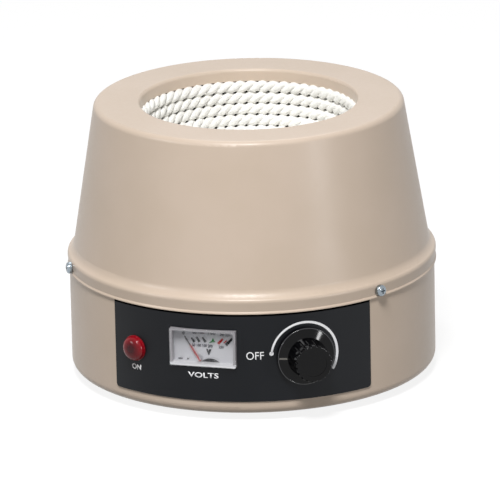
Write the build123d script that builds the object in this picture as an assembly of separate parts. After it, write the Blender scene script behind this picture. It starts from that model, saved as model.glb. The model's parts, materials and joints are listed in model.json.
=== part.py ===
from build123d import *

import os
from math import asin, cos, degrees, radians, sin, sqrt

# Laboratory heating mantle for a round-bottomed flask: a pressed base pan with a curved control
# panel, a conical pressed cover with a turned-down collar, and a woven glass-fibre bowl that carries
# the heating wire. Millimetres. The origin lies on the mantle's axis, on the bench, +Z is up, and
# the middle of the control panel faces -Y.
# An azimuth is an angle about the axis in degrees, from -Y towards +X. In the frame of a wall
# fitting, local z is the distance from the mantle's axis, x runs round the wall and y is up.

# --- Driving dimensions -------------------------------------------------------------------------
SHEET = 1.0                  # steel sheet of the pan and the cover
RUNNING = 0.05               # radial clearance of a shaft that turns in a bore
CLEAR = 0.3                  # clearance between pieces that move past each other
ROOM = 0.2                   # clearance round a piece that drops into a cut-out

# Base pan
PAN_RADIUS = 97.1
PAN_RIM_DROP = 0.6           # the pan's rim, below the top corner of the cover's skirt
PAN_CORNER = 4.5             # outside radius between floor and wall
FOOT_HEIGHT = 4.0            # height of the feet that shows under the pan

# Cover
SEAM_HEIGHT = 55.25          # lower edge of the cover's skirt, above the pan's underside
SKIRT_HEIGHT = 7.3
SKIRT_LIP = 0.5              # height of the skirt's turned-out edge
SKIRT_WAIST = 0.5            # how far the skirt draws in above its edge
WAIST_RISE = 1.35            # of the waist, above the seam
LEDGE_HEIGHT = 2.35
LEDGE_STEP = 3.35            # from the skirt in to the foot of the cone
LEDGE_ROUND = 2.4
FLARE_ROUND = 6.0            # where the ledge sweeps up into the cone
COVER_ROOM = 5.1             # from the insulation cup's flange out to the top of the cone
COVER_HEIGHT = 88.5          # from the skirt's lower edge to the top
SHOULDER_ROUND = 3.2
COLLAR_RADIUS = 57.5         # clear opening
COLLAR_DEPTH = 6.7
LIP_ROUND = 1.6

# Screws that hold the cover
COVER_SCREW_AZIMUTH = 47.1
COVER_SCREW_COUNT = 3
COVER_SCREW_RADIUS = 1.9
COVER_SCREW_HEAD_RADIUS = 3.1
COVER_SCREW_HEAD_HEIGHT = 2.6
COVER_SCREW_LENGTH = 9.0
CROSS_SLOT_WIDTH = 0.7
CROSS_SLOT_DEPTH = 1.0
COVER_NUT_ACROSS = 7.0
COVER_NUT_HEIGHT = 3.0

# Control panel
PANEL_HALF_ANGLE = 43.2
PANEL_THICKNESS = 0.6
PANEL_CORNER = 2.2
PANEL_MARGIN = 0.2           # gap below the skirt
PANEL_LOW = 7.4              # lower edge above the pan's underside

# Woven bowl
COLLAR_ROOM = 3.2            # from the crests of the woven courses out to the collar
COURSE_PITCH = 5.5           # degrees of latitude from one course to the next
COURSE_RADIUS = 2.65
FABRIC_WALL = 3.5            # behind the courses
WEAVE_GAP_RADIUS = 0.9
WEAVE_GAP_ROWS = 4
WEAVE_GAPS_PER_ROW = 30
CROWN_KNOT_RADIUS = 3.4      # knot that closes the weave at the bottom

# Heating wire, insulation and its cup
WIRE_RADIUS = 0.9
WIRE_COURSES = 7
INSULATION_WALL = 11.0       # between the bowl's rim and the cup
INSULATION_FLOOR = 12.0      # below the bowl
CUP_SHEET = 0.8
CUP_FLANGE = 4.5

# Heat shield on its pillars
SHIELD_RADIUS = 74.0
SHIELD_SHEET = 0.8
SHIELD_LIP = 4.0
SHIELD_GAP = 3.0             # air gap under the cup
PILLAR_COUNT = 3
PILLAR_CIRCLE = 58.0
PILLAR_ACROSS = 8.0
PILLAR_AZIMUTH = 60.0
PILLAR_SCREW_RADIUS = 2.0
PILLAR_SCREW_DEPTH = 8.0
PILLAR_SCREW_HEAD_RADIUS = 3.6
PILLAR_SCREW_HEAD_HEIGHT = 2.0

# Feet
FOOT_COUNT = 4
FOOT_CIRCLE = 62.0
FOOT_AZIMUTH = 45.0
FOOT_RADIUS = 8.0
FOOT_TAPER = 1.2
FOOT_WEB = 1.2               # rubber under the pan, above the screw's head
FOOT_SCREW_ROOM = 0.6        # round the screw's head
FOOT_SCREW_RADIUS = 2.0
FOOT_SCREW_HEAD_RADIUS = 3.6
FOOT_SCREW_HEAD_HEIGHT = 1.6
FOOT_NUT_ACROSS = 7.0
FOOT_NUT_HEIGHT = 2.6

# Floor vents
VENT_COUNT = 12
VENT_INSET = 15.1            # from the pan's wall in to the middle of a vent
VENT_LENGTH = 10.0
VENT_WIDTH = 3.0

# Speed control: potentiometer and knob
KNOB_AZIMUTH = 20.4
KNOB_HEIGHT = 31.3           # heights of wall fittings are above the pan's underside
POT_RADIUS = 12.0
POT_DEPTH = 11.0
POT_WALL = 1.2
POT_TAG_SPACING = 5.0
POT_TAG_WIDTH = 1.6
POT_TAG_LENGTH = 4.0
POT_TAG_THICKNESS = 0.6
POT_TAG_INSET = 3.0          # from the back of the can
BUSHING_RADIUS = 3.9
BUSHING_REACH = 5.0          # beyond the panel
SHAFT_RADIUS = 3.0
WIPER_RADIUS = 8.0
WIPER_THICKNESS = 1.6
WIPER_INSET = 2.0            # from the back end of the shaft
POT_WASHER_RADIUS = 6.2
POT_WASHER_THICKNESS = 0.5
POT_NUT_ACROSS = 11.0
POT_NUT_HEIGHT = 2.0
KNOB_GAP = 0.7               # from the panel to the back of the knob
KNOB_DEPTH = 16.0
KNOB_SKIRT_RADIUS = 15.5
KNOB_SKIRT_EDGE = 1.6
KNOB_SKIRT_RISE = 1.4        # rise of the skirt from its edge to the grip
KNOB_GRIP_RADIUS = 10.5
KNOB_FACE_RADIUS = 9.8
KNOB_FACE_ROUND = 0.6
FLUTE_COUNT = 20
FLUTE_RADIUS = 0.75
KNOB_HOLLOW_RADIUS = 8.2
INSERT_RADIUS = 5.2
CAP_RADIUS = 6.7
CAP_THICKNESS = 1.2
CAP_SINK = 0.2               # of the cap's face, below the rim of the grip
SHAFT_END_ROOM = 1.0         # from the shaft's end to the cap
SET_SCREW_RADIUS = 1.5
SET_SCREW_RISE = 8.6         # from the back of the knob
SET_SCREW_SINK = 1.5         # from the face radius in to the screw's head

# Pilot lamp
LAMP_AZIMUTH = -34.8
LAMP_HEIGHT = 31.2
LAMP_FLANGE_RADIUS = 6.9
LAMP_FLANGE_THICKNESS = 0.8
LAMP_DOME_RADIUS = 6.6
LAMP_DOME_HEIGHT = 4.2
LAMP_LENS_WALL = 0.9
LAMP_BARREL_RADIUS = 4.95
LAMP_BARREL_WALL = 1.0
LAMP_DEPTH = 22.0
LAMP_NUT_RADIUS = 7.4
LAMP_NUT_HEIGHT = 3.0
LAMP_TAG_SPREAD = 4.0
LAMP_TAG_WIDTH = 2.0
LAMP_TAG_LENGTH = 8.0
LAMP_TAG_THICKNESS = 0.6
LAMP_FLOOR = 2.0
BULB_RADIUS = 3.0
BULB_PROUD = 1.5             # of the bulb's tip, beyond the panel

# Voltmeter
METER_AZIMUTH = -11.2
METER_HEIGHT = 36.4
METER_WIDTH = 35.5
METER_TALL = 20.0
METER_PROUD = 1.9            # face of the window beyond the panel, at its middle
METER_WINDOW_WALL = 1.3
METER_WINDOW_ROUND = 0.6
METER_DIAL_SINK = 5.6        # from the window's face to the dial
METER_DIAL_SHEET = 0.6
DIAL_LEDGE = 1.5             # ledge of the case under the edge of the dial
DIAL_HOLE_RADIUS = 1.8
BEARING_PROUD = 0.5          # of the bearing, above the dial
METER_CASE_WALL = 1.5
METER_TRAY_DEPTH = 8.0
METER_BARREL_RADIUS = 12.5
METER_BARREL_DEPTH = 19.0
PIVOT_OFFSET_X = -2.8
PIVOT_DROP = 6.8             # pivot below the window's middle
MAGNET_RADIUS = 6.3          # bore of the ring magnet
CORE_RADIUS = 4.0
CORE_WEB = 2.4               # bridge that holds the core in the magnet's bore
MAGNET_DEPTH = 11.0
MAGNET_GAP = 2.5             # behind the magnet, where the coil swings
COIL_GAP = 0.6               # between the coil's ends and the magnet
COIL_WIRE = 0.8
COIL_WIDTH = 2.0
PIVOT_RADIUS = 0.5
NEEDLE_REST_ANGLE = 32.5     # from upright, towards the left
NEEDLE_LENGTH = 14.3
NEEDLE_TAIL = 1.6
NEEDLE_THICKNESS = 0.3
NEEDLE_WIDTH = 1.1
NEEDLE_HUB_RADIUS = 1.1
NEEDLE_HUB_PROUD = 0.3
NEEDLE_LIFT = 1.2            # above the dial
NEEDLE_SWING = 90.0

# Fuse holder, on the rear wall
FUSE_AZIMUTH = 165.0
FUSE_HEIGHT = 26.0
FUSE_BODY_RADIUS = 6.0
FUSE_BODY_DEPTH = 34.0
FUSE_BODY_WALL = 1.3
FUSE_FLANGE_RADIUS = 8.6
FUSE_FLANGE_THICKNESS = 2.0
FUSE_CAP_RADIUS = 6.8
FUSE_CAP_HEIGHT = 11.4
FUSE_CAP_ROUND = 1.0
FUSE_GRIP_COUNT = 8
FUSE_GRIP_RADIUS = 1.2
FUSE_GRIP_OFFSET = 0.4       # of a grip groove's axis, outside the cap
FUSE_GRIP_START = 2.0        # from the flange end of the cap
FUSE_COIN_SLOT = 1.6
FUSE_COIN_SLOT_LENGTH = 8.0
FUSE_COIN_SLOT_DEPTH = 1.5
FUSE_SPIGOT_DEPTH = 8.0
FUSE_TAG_WIDTH = 4.0
FUSE_TAG_LENGTH = 4.0
FUSE_TAG_THICKNESS = 0.8
FUSE_SIDE_TAG_INSET = 8.0
FUSE_NUT_RADIUS = 8.2
FUSE_NUT_HEIGHT = 3.0
FUSE_LINK_RADIUS = 2.5
FUSE_LINK_LENGTH = 20.0
FUSE_LINK_SEAT = 2.0         # depth of the link's end inside the cap

# Cable inlet, on the rear wall
INLET_AZIMUTH = 195.0
INLET_HEIGHT = 22.0
INLET_BORE_RADIUS = 4.0
GROMMET_NECK_RADIUS = 6.4
GROMMET_FLANGE_RADIUS = 8.4
GROMMET_FLANGE = 2.5
GROMMET_CHAMFER = 0.8

# Earth stud on the floor
EARTH_AZIMUTH = 215.0
EARTH_CIRCLE = 74.0
EARTH_RADIUS = 2.0
EARTH_HEIGHT = 14.0
EARTH_NUT_ACROSS = 7.0
EARTH_NUT_HEIGHT = 3.2
EARTH_TAG_ROOM = 1.5         # between the two nuts, for the ring tags

# Power board
BOARD_LENGTH = 68.0
BOARD_WIDTH = 48.0
BOARD_THICKNESS = 1.6
BOARD_HOLE_INSET = 4.0
BOARD_HOLE_RADIUS = 1.6
STANDOFF_HEIGHT = 8.0
STANDOFF_RADIUS = 3.0
BOARD_SCREW_HEAD_RADIUS = 2.8
BOARD_SCREW_HEAD_HEIGHT = 1.8
STANDOFF_FLOOR = 2.0         # solid end of a standoff, under its screw
SINK_WIDTH = 26.0
SINK_DEPTH = 14.0
SINK_HEIGHT = 24.0
SINK_WEB = 2.5
SINK_FIN = 1.6
SINK_FIN_COUNT = 6
SINK_EDGE_X = 22.0           # from the board's left edge to the sink's middle
SINK_OFFSET_Y = 2.0
TRIAC_WIDTH = 10.0
TRIAC_DEPTH = 4.4
TRIAC_HEIGHT = 15.0
TRIAC_TAB_HEIGHT = 6.0
TRIAC_TAB_THICKNESS = 1.3
TRIAC_TAB_HOLE_RADIUS = 1.8
TRIAC_LEG_SPACING = 2.54
TRIAC_LEG_WIDTH = 0.9
TRIAC_LEG_THICKNESS = 0.6
TRIAC_LIFT = 3.0             # of the body, above the board
CAPACITOR_WIDTH = 18.0
CAPACITOR_DEPTH = 8.0
CAPACITOR_HEIGHT = 14.0
CAPACITOR_ROUND = 1.0
CAPACITOR_EDGE_X = 16.0      # from the board's right edge
CAPACITOR_EDGE_Y = 10.0      # from the board's rear edge
CHOKE_RADIUS = 7.0
CHOKE_SECTION_RADIUS = 3.0
CHOKE_EDGE_X = 20.0          # from the board's right edge
CHOKE_OFFSET_Y = -4.0
TERMINAL_WAYS = 3
TERMINAL_PITCH = 7.5
TERMINAL_DEPTH = 10.0
TERMINAL_HEIGHT = 12.0
TERMINAL_BORE_RADIUS = 2.2
TERMINAL_BORE_DEPTH = 3.0
TERMINAL_MOUTH = 5.0
TERMINAL_MOUTH_DEPTH = 3.0
TERMINAL_MOUTH_RISE = 1.5
TERMINAL_EDGE_X = 19.5       # from the board's left edge to the block's middle
TERMINAL_EDGE_Y = 7.0        # from the board's front edge

# --- Derived levels and radii -------------------------------------------------------------------
PAN_BOTTOM = FOOT_HEIGHT
FLOOR = PAN_BOTTOM + SHEET
PAN_INSIDE = PAN_RADIUS - SHEET
PANEL_RADIUS = PAN_RADIUS + PANEL_THICKNESS
SKIRT_RADIUS = PAN_RADIUS + SHEET
CONE_FOOT_RADIUS = SKIRT_RADIUS - LEDGE_STEP
SEAM = PAN_BOTTOM + SEAM_HEIGHT
PAN_HEIGHT = SEAM_HEIGHT + SKIRT_HEIGHT - PAN_RIM_DROP
TOP = SEAM + COVER_HEIGHT
UNDER_TOP = TOP - SHEET
COLLAR_END = TOP - COLLAR_DEPTH
COLLAR_OUTSIDE = COLLAR_RADIUS + SHEET
BOWL_CENTRE = COLLAR_END - COURSE_RADIUS
FLASK_SEAT_RADIUS = COLLAR_RADIUS - COLLAR_ROOM
COURSE_CENTRE_RADIUS = FLASK_SEAT_RADIUS + COURSE_RADIUS
BOWL_OUTSIDE = COURSE_CENTRE_RADIUS + FABRIC_WALL
CUP_INSIDE = BOWL_OUTSIDE + INSULATION_WALL
CONE_TOP_RADIUS = CUP_INSIDE + CUP_SHEET + CUP_FLANGE + COVER_ROOM
INSULATION_BOTTOM = BOWL_CENTRE - BOWL_OUTSIDE - INSULATION_FLOOR
CUP_BOTTOM = INSULATION_BOTTOM - CUP_SHEET
SHIELD_TOP = CUP_BOTTOM - SHIELD_GAP
PILLAR_TOP = SHIELD_TOP - SHIELD_SHEET
COVER_SCREW_HEIGHT = SEAM_HEIGHT + SKIRT_HEIGHT / 2
VENT_CIRCLE = PAN_RADIUS - VENT_INSET
EPS = 0.01
UP = (Align.CENTER, Align.CENTER, Align.MIN)


# --- Helpers ------------------------------------------------------------------------------------
def disc(radius, start, end):
    """A cylinder on local z, from start to end."""
    return Pos(0, 0, start) * Cylinder(radius, end - start, align=UP)


def tube(outer, inner, start, end):
    """A tube on local z."""
    return disc(outer, start, end) - disc(inner, start - 1, end + 1)


def hexagon(across, start, end):
    """A hexagonal prism on local z; across is measured over its flats."""
    outline = RegularPolygon(across / 2, 6, major_radius=False)
    return Pos(0, 0, start) * extrude(outline, end - start)


def hex_corner(across):
    return across / 2 / cos(radians(30))


def spun(section):
    """A section drawn as (radius, height), turned about the mantle's axis."""
    return revolve(Plane.XZ * section, Axis.Z)


def turned(*points):
    """A stepped piece turned about local z, from its (radius, distance) outline."""
    return revolve(Plane.XZ * make_face(Polyline(*points, close=True)), Axis.Z)


def wall_frame(azimuth, height):
    """Frame of a fitting at a height above the pan's underside: local z is the distance from the axis."""
    turn = radians(azimuth)
    outward = (sin(turn), -cos(turn), 0)
    return Plane(origin=(0, 0, PAN_BOTTOM + height), x_dir=(cos(turn), sin(turn), 0), z_dir=outward)


def floor_spots(count, circle, first_azimuth):
    """Upright places spaced evenly on a circle about the mantle's axis."""
    turns = [radians(first_azimuth + 360 * n / count) for n in range(count)]
    return [Pos(circle * sin(turn), -circle * cos(turn), 0) for turn in turns]


def foot_spots():
    return floor_spots(FOOT_COUNT, FOOT_CIRCLE, FOOT_AZIMUTH)


def pillar_spots():
    return floor_spots(PILLAR_COUNT, PILLAR_CIRCLE, PILLAR_AZIMUTH)


def seat_inside(half_width):
    """Where a flat face of this half width meets the inside of the pan's wall."""
    return sqrt(PAN_INSIDE**2 - half_width**2)


def group(pieces):
    """Separate solids that share one node."""
    return Compound(children=list(pieces))


def slab(width, tall, start, end):
    """A rectangular block on local z."""
    return Pos(0, 0, start) * Box(width, tall, end - start, align=UP)


# --- Pressed housing ----------------------------------------------------------------------------
def wall_cutters():
    """Holes that pass through the pan's wall and the panel on it."""
    near, far = PAN_INSIDE - 5, PANEL_RADIUS + 5
    cutters = [
        wall_frame(KNOB_AZIMUTH, KNOB_HEIGHT) * disc(BUSHING_RADIUS, near, far),
        wall_frame(LAMP_AZIMUTH, LAMP_HEIGHT) * disc(LAMP_BARREL_RADIUS, near, far),
        wall_frame(METER_AZIMUTH, METER_HEIGHT)
        * Pos(0, 0, (near + far) / 2)
        * Box(METER_WIDTH + 2 * ROOM, METER_TALL + 2 * ROOM, far - near),
    ]
    return cutters


def cover_screw_azimuths():
    return [COVER_SCREW_AZIMUTH + 360 * n / COVER_SCREW_COUNT for n in range(COVER_SCREW_COUNT)]


def cover_screw_frames():
    return [wall_frame(azimuth, COVER_SCREW_HEIGHT) for azimuth in cover_screw_azimuths()]


def base_pan():
    blank = Pos(0, 0, PAN_BOTTOM) * Cylinder(PAN_RADIUS, PAN_HEIGHT, align=UP)
    blank = fillet(blank.edges().group_by(Axis.Z)[0], PAN_CORNER)
    pan = offset(blank, -SHEET, openings=blank.faces().sort_by(Axis.Z)[-1])
    for cutter in wall_cutters():
        pan -= cutter
    for frame in cover_screw_frames():
        pan -= frame * disc(COVER_SCREW_RADIUS, PAN_INSIDE - 3, PAN_RADIUS + 3)
    near, far = PAN_INSIDE - 3, PAN_RADIUS + 3
    pan -= wall_frame(FUSE_AZIMUTH, FUSE_HEIGHT) * disc(FUSE_BODY_RADIUS, near, far)
    pan -= wall_frame(INLET_AZIMUTH, INLET_HEIGHT) * disc(GROMMET_NECK_RADIUS, near, far)
    low, high = PAN_BOTTOM - 1, FLOOR + 1
    for spot in foot_spots():
        pan -= spot * disc(FOOT_SCREW_RADIUS, low, high)
    for spot in pillar_spots():
        pan -= spot * disc(PILLAR_SCREW_RADIUS, low, high)
    pan -= earth_spot() * disc(EARTH_RADIUS, low, high)
    slot = Pos(0, 0, low) * extrude(SlotOverall(VENT_LENGTH, VENT_WIDTH), high - low)
    for turn in range(VENT_COUNT):
        azimuth = 360 * (turn + 0.5) / VENT_COUNT
        if abs(azimuth - EARTH_AZIMUTH) > 180 / VENT_COUNT:
            pan -= Rot(0, 0, azimuth) * Pos(0, VENT_CIRCLE, 0) * slot
    return pan


def cover_outline():
    """Outside of the cover as (radius, height), from the skirt's lip to the collar's end."""
    waist = (SKIRT_RADIUS - SKIRT_WAIST, SEAM + WAIST_RISE)
    lip = Polyline((SKIRT_RADIUS, SEAM), (SKIRT_RADIUS, SEAM + SKIRT_LIP), waist)
    upper = FilletPolyline(
        waist,
        (SKIRT_RADIUS, SEAM + SKIRT_HEIGHT),
        (CONE_FOOT_RADIUS, SEAM + SKIRT_HEIGHT + LEDGE_HEIGHT),
        (CONE_TOP_RADIUS, TOP),
        (COLLAR_RADIUS, TOP),
        (COLLAR_RADIUS, COLLAR_END),
        radius=[LEDGE_ROUND, FLARE_ROUND, SHOULDER_ROUND, LIP_ROUND],
    )
    return lip + upper


def upper_cover():
    section = make_face(offset(cover_outline(), SHEET, side=Side.LEFT))
    pan_top = PAN_BOTTOM + PAN_HEIGHT
    section -= Pos(0, pan_top / 2) * Rectangle(2 * PAN_RADIUS, pan_top)
    cover = spun(section)
    for frame in cover_screw_frames():
        cover -= frame * disc(COVER_SCREW_RADIUS, PAN_RADIUS - 3, SKIRT_RADIUS + 3)
    return cover


def control_panel():
    low, high = PAN_BOTTOM + PANEL_LOW, SEAM - PANEL_MARGIN
    section = rim_section(PAN_RADIUS, PANEL_RADIUS, low, high)
    start = Rot(0, 0, -90 - PANEL_HALF_ANGLE) * (Plane.XZ * section)
    panel = revolve(start, Axis.Z, 2 * PANEL_HALF_ANGLE)
    corners = panel.edges().filter_by(lambda edge: abs(edge.length - PANEL_THICKNESS) < EPS)
    panel = fillet(corners.group_by(Axis.Z)[0], PANEL_CORNER)
    for cutter in wall_cutters():
        panel -= cutter
    return panel


def cover_screws():
    pieces = []
    for frame in cover_screw_frames():
        head = disc(COVER_SCREW_HEAD_RADIUS, SKIRT_RADIUS, SKIRT_RADIUS + COVER_SCREW_HEAD_HEIGHT)
        head = fillet(head.edges().group_by(Axis.Z)[-1], COVER_SCREW_HEAD_HEIGHT * 0.55)
        face = SKIRT_RADIUS + COVER_SCREW_HEAD_HEIGHT
        for turn in (0, 90):
            slot = Box(COVER_SCREW_HEAD_RADIUS, CROSS_SLOT_WIDTH, 2 * CROSS_SLOT_DEPTH)
            head -= Pos(0, 0, face) * Rot(0, 0, turn) * slot
        shank = disc(COVER_SCREW_RADIUS, SKIRT_RADIUS - COVER_SCREW_LENGTH, SKIRT_RADIUS)
        pieces.append(frame * (head + shank))
    return group(pieces)


def cover_nuts():
    seat = seat_inside(hex_corner(COVER_NUT_ACROSS))
    nut = hexagon(COVER_NUT_ACROSS, seat - COVER_NUT_HEIGHT, seat)
    nut -= disc(COVER_SCREW_RADIUS, seat - 2 * COVER_NUT_HEIGHT, seat + 1)
    return group(frame * nut for frame in cover_screw_frames())


# --- Bowl, heating wire and insulation ----------------------------------------------------------
def course_centre(latitude, radius):
    turn = radians(latitude)
    return (radius * cos(turn), BOWL_CENTRE - radius * sin(turn))


def lower_half(radius):
    """Half disc below the bowl's centre, as a section."""
    whole = Pos(0, BOWL_CENTRE) * Circle(radius)
    keep = Pos(radius / 2, BOWL_CENTRE - radius / 2) * Rectangle(radius, radius)
    return whole & keep


def rim_section(inner, outer, low, high):
    return Pos((inner + outer) / 2, (low + high) / 2) * Rectangle(outer - inner, high - low)


def heating_bowl():
    section = lower_half(BOWL_OUTSIDE) - lower_half(COURSE_CENTRE_RADIUS)
    section += rim_section(COURSE_CENTRE_RADIUS, BOWL_OUTSIDE, BOWL_CENTRE, COLLAR_END)
    section += rim_section(COLLAR_OUTSIDE, BOWL_OUTSIDE, COLLAR_END, UNDER_TOP - LIP_ROUND + SHEET)
    half_plane = Pos(BOWL_OUTSIDE, BOWL_CENTRE) * Rectangle(2 * BOWL_OUTSIDE, 4 * BOWL_OUTSIDE)
    last_latitude = 90 - degrees(asin(2 * COURSE_RADIUS / COURSE_CENTRE_RADIUS))
    for row in range(int(last_latitude / COURSE_PITCH) + 1):
        spot = course_centre(row * COURSE_PITCH, COURSE_CENTRE_RADIUS)
        section += Pos(*spot) * Circle(COURSE_RADIUS)
    section += Pos(0, BOWL_CENTRE - COURSE_CENTRE_RADIUS) * Circle(CROWN_KNOT_RADIUS) & half_plane
    bowl = spun(section)
    gaps = []
    for row in range(WEAVE_GAP_ROWS):
        latitude = (row + 0.5) * COURSE_PITCH
        for column in range(WEAVE_GAPS_PER_ROW):
            turn = 360 * (column + 0.25 + 0.5 * (row % 2)) / WEAVE_GAPS_PER_ROW
            gap = disc(WEAVE_GAP_RADIUS, FLASK_SEAT_RADIUS - 5, BOWL_OUTSIDE + 5)
            gaps.append(Pos(0, 0, BOWL_CENTRE) * Rot(0, 0, turn) * Rot(0, 90 + latitude, 0) * gap)
    return bowl - gaps


def wire_latitudes():
    return [(course + 1.5) * 2 * COURSE_PITCH for course in range(WIRE_COURSES)]


def heating_wire():
    """One ring of sleeved resistance wire for each heated course, behind the fabric."""
    rings = []
    for latitude in wire_latitudes():
        radius, height = course_centre(latitude, BOWL_OUTSIDE + WIRE_RADIUS)
        rings.append(Pos(0, 0, height) * Torus(radius, WIRE_RADIUS))
    return group(rings)


def insulation_bowl():
    block = rim_section(0, CUP_INSIDE, INSULATION_BOTTOM, UNDER_TOP)
    block -= lower_half(BOWL_OUTSIDE)
    block -= rim_section(-1, BOWL_OUTSIDE, BOWL_CENTRE, UNDER_TOP + 1)
    for latitude in wire_latitudes():
        reach = BOWL_OUTSIDE - WIRE_RADIUS
        spot = course_centre(latitude, (reach + BOWL_OUTSIDE + 2 * WIRE_RADIUS) / 2)
        groove = Rectangle(3 * WIRE_RADIUS, 2 * WIRE_RADIUS)
        block -= Pos(*spot) * Rot(0, 0, -latitude) * groove
    return spun(block)


def insulation_cup():
    outer = CUP_INSIDE + CUP_SHEET
    cup = rim_section(0, outer, CUP_BOTTOM, UNDER_TOP)
    cup -= rim_section(-1, CUP_INSIDE, INSULATION_BOTTOM, UNDER_TOP + 1)
    cup += rim_section(outer, outer + CUP_FLANGE, UNDER_TOP - CUP_SHEET, UNDER_TOP)
    return spun(cup)


def heat_shield():
    section = rim_section(0, SHIELD_RADIUS, PILLAR_TOP, SHIELD_TOP)
    section += rim_section(SHIELD_RADIUS - SHIELD_SHEET, SHIELD_RADIUS, PILLAR_TOP - SHIELD_LIP, SHIELD_TOP)
    shield = spun(section)
    for spot in pillar_spots():
        shield -= spot * disc(PILLAR_SCREW_RADIUS, PILLAR_TOP - 1, SHIELD_TOP + 1)
    return shield


def support_pillars():
    pillar = hexagon(PILLAR_ACROSS, FLOOR, PILLAR_TOP)
    pillar -= disc(PILLAR_SCREW_RADIUS, FLOOR - 1, FLOOR + PILLAR_SCREW_DEPTH + 1)
    pillar -= disc(PILLAR_SCREW_RADIUS, PILLAR_TOP - PILLAR_SCREW_DEPTH, PILLAR_TOP + 1)
    return group(spot * pillar for spot in pillar_spots())


def pan_head_screw(radius, length, head_radius, head_height):
    """A screw on local z: its head stands above z = 0 and its shank reaches down to -length."""
    head = disc(head_radius, 0, head_height)
    head = fillet(head.edges().group_by(Axis.Z)[-1], head_height / 2)
    head -= Pos(0, 0, head_height) * Box(2 * head_radius, head_radius / 4, head_height)
    return head + disc(radius, -length, 0)


def pillar_screw(length):
    return pan_head_screw(PILLAR_SCREW_RADIUS, length, PILLAR_SCREW_HEAD_RADIUS, PILLAR_SCREW_HEAD_HEIGHT)


def pillar_screws():
    screw = pillar_screw(PILLAR_SCREW_DEPTH + SHEET)
    return group(spot * Pos(0, 0, PAN_BOTTOM) * Rot(180, 0, 0) * screw for spot in pillar_spots())


def shield_screws():
    screw = pillar_screw(PILLAR_SCREW_DEPTH)
    return group(spot * Pos(0, 0, SHIELD_TOP) * screw for spot in pillar_spots())


# --- Feet ---------------------------------------------------------------------------------------
def foot_sink():
    """Depth of the screw's recess in the foot."""
    return FOOT_HEIGHT - FOOT_WEB


def rubber_feet():
    sink = FOOT_SCREW_HEAD_RADIUS + FOOT_SCREW_ROOM
    foot = turned(
        (sink, 0), (FOOT_RADIUS - FOOT_TAPER, 0), (FOOT_RADIUS, FOOT_HEIGHT),
        (FOOT_SCREW_RADIUS, FOOT_HEIGHT), (FOOT_SCREW_RADIUS, foot_sink()), (sink, foot_sink()),
    )
    return group(spot * foot for spot in foot_spots())


def foot_screws():
    length = FLOOR - foot_sink() + FOOT_NUT_HEIGHT + 1
    screw = pan_head_screw(FOOT_SCREW_RADIUS, length, FOOT_SCREW_HEAD_RADIUS, FOOT_SCREW_HEAD_HEIGHT)
    place = Pos(0, 0, foot_sink()) * Rot(180, 0, 0)
    return group(spot * place * screw for spot in foot_spots())


def foot_nuts():
    nut = hexagon(FOOT_NUT_ACROSS, FLOOR, FLOOR + FOOT_NUT_HEIGHT)
    nut -= disc(FOOT_SCREW_RADIUS, FLOOR - 1, FLOOR + FOOT_NUT_HEIGHT + 1)
    return group(spot * nut for spot in foot_spots())


# --- Potentiometer and knob ---------------------------------------------------------------------
POT_FRONT = seat_inside(POT_RADIUS)
POT_BACK = POT_FRONT - POT_DEPTH
BUSHING_END = PANEL_RADIUS + BUSHING_REACH
KNOB_BACK = PANEL_RADIUS + KNOB_GAP
KNOB_FRONT = KNOB_BACK + KNOB_DEPTH
SHAFT_BACK = POT_BACK + POT_WALL + CLEAR
SHAFT_FRONT = KNOB_FRONT - CAP_THICKNESS - SHAFT_END_ROOM
WIPER_BACK = SHAFT_BACK + WIPER_INSET


def potentiometer_body():
    can = disc(POT_RADIUS, POT_BACK, POT_FRONT)
    can -= disc(POT_RADIUS - POT_WALL, POT_BACK + POT_WALL, POT_FRONT - POT_WALL)
    can += disc(BUSHING_RADIUS, POT_FRONT - EPS, BUSHING_END)
    can -= disc(SHAFT_RADIUS + RUNNING, POT_BACK + POT_WALL, BUSHING_END + 1)
    tag = Box(POT_TAG_WIDTH, 2 * POT_TAG_LENGTH, POT_TAG_THICKNESS)
    for side in (-1, 0, 1):
        can += Pos(side * POT_TAG_SPACING, -POT_RADIUS, POT_BACK + POT_TAG_INSET) * tag
    return wall_frame(KNOB_AZIMUTH, KNOB_HEIGHT) * can


def potentiometer_washer():
    end = PANEL_RADIUS + POT_WASHER_THICKNESS
    return wall_frame(KNOB_AZIMUTH, KNOB_HEIGHT) * tube(POT_WASHER_RADIUS, BUSHING_RADIUS, PANEL_RADIUS, end)


def potentiometer_nut():
    start = PANEL_RADIUS + POT_WASHER_THICKNESS
    nut = hexagon(POT_NUT_ACROSS, start, start + POT_NUT_HEIGHT)
    nut -= disc(BUSHING_RADIUS, start - 1, BUSHING_END)
    return wall_frame(KNOB_AZIMUTH, KNOB_HEIGHT) * nut


def potentiometer_shaft():
    return wall_frame(KNOB_AZIMUTH, KNOB_HEIGHT) * disc(SHAFT_RADIUS, SHAFT_BACK, SHAFT_FRONT)


def potentiometer_wiper():
    wiper = tube(WIPER_RADIUS, SHAFT_RADIUS, WIPER_BACK, WIPER_BACK + WIPER_THICKNESS)
    return wall_frame(KNOB_AZIMUTH, KNOB_HEIGHT) * wiper


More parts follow.
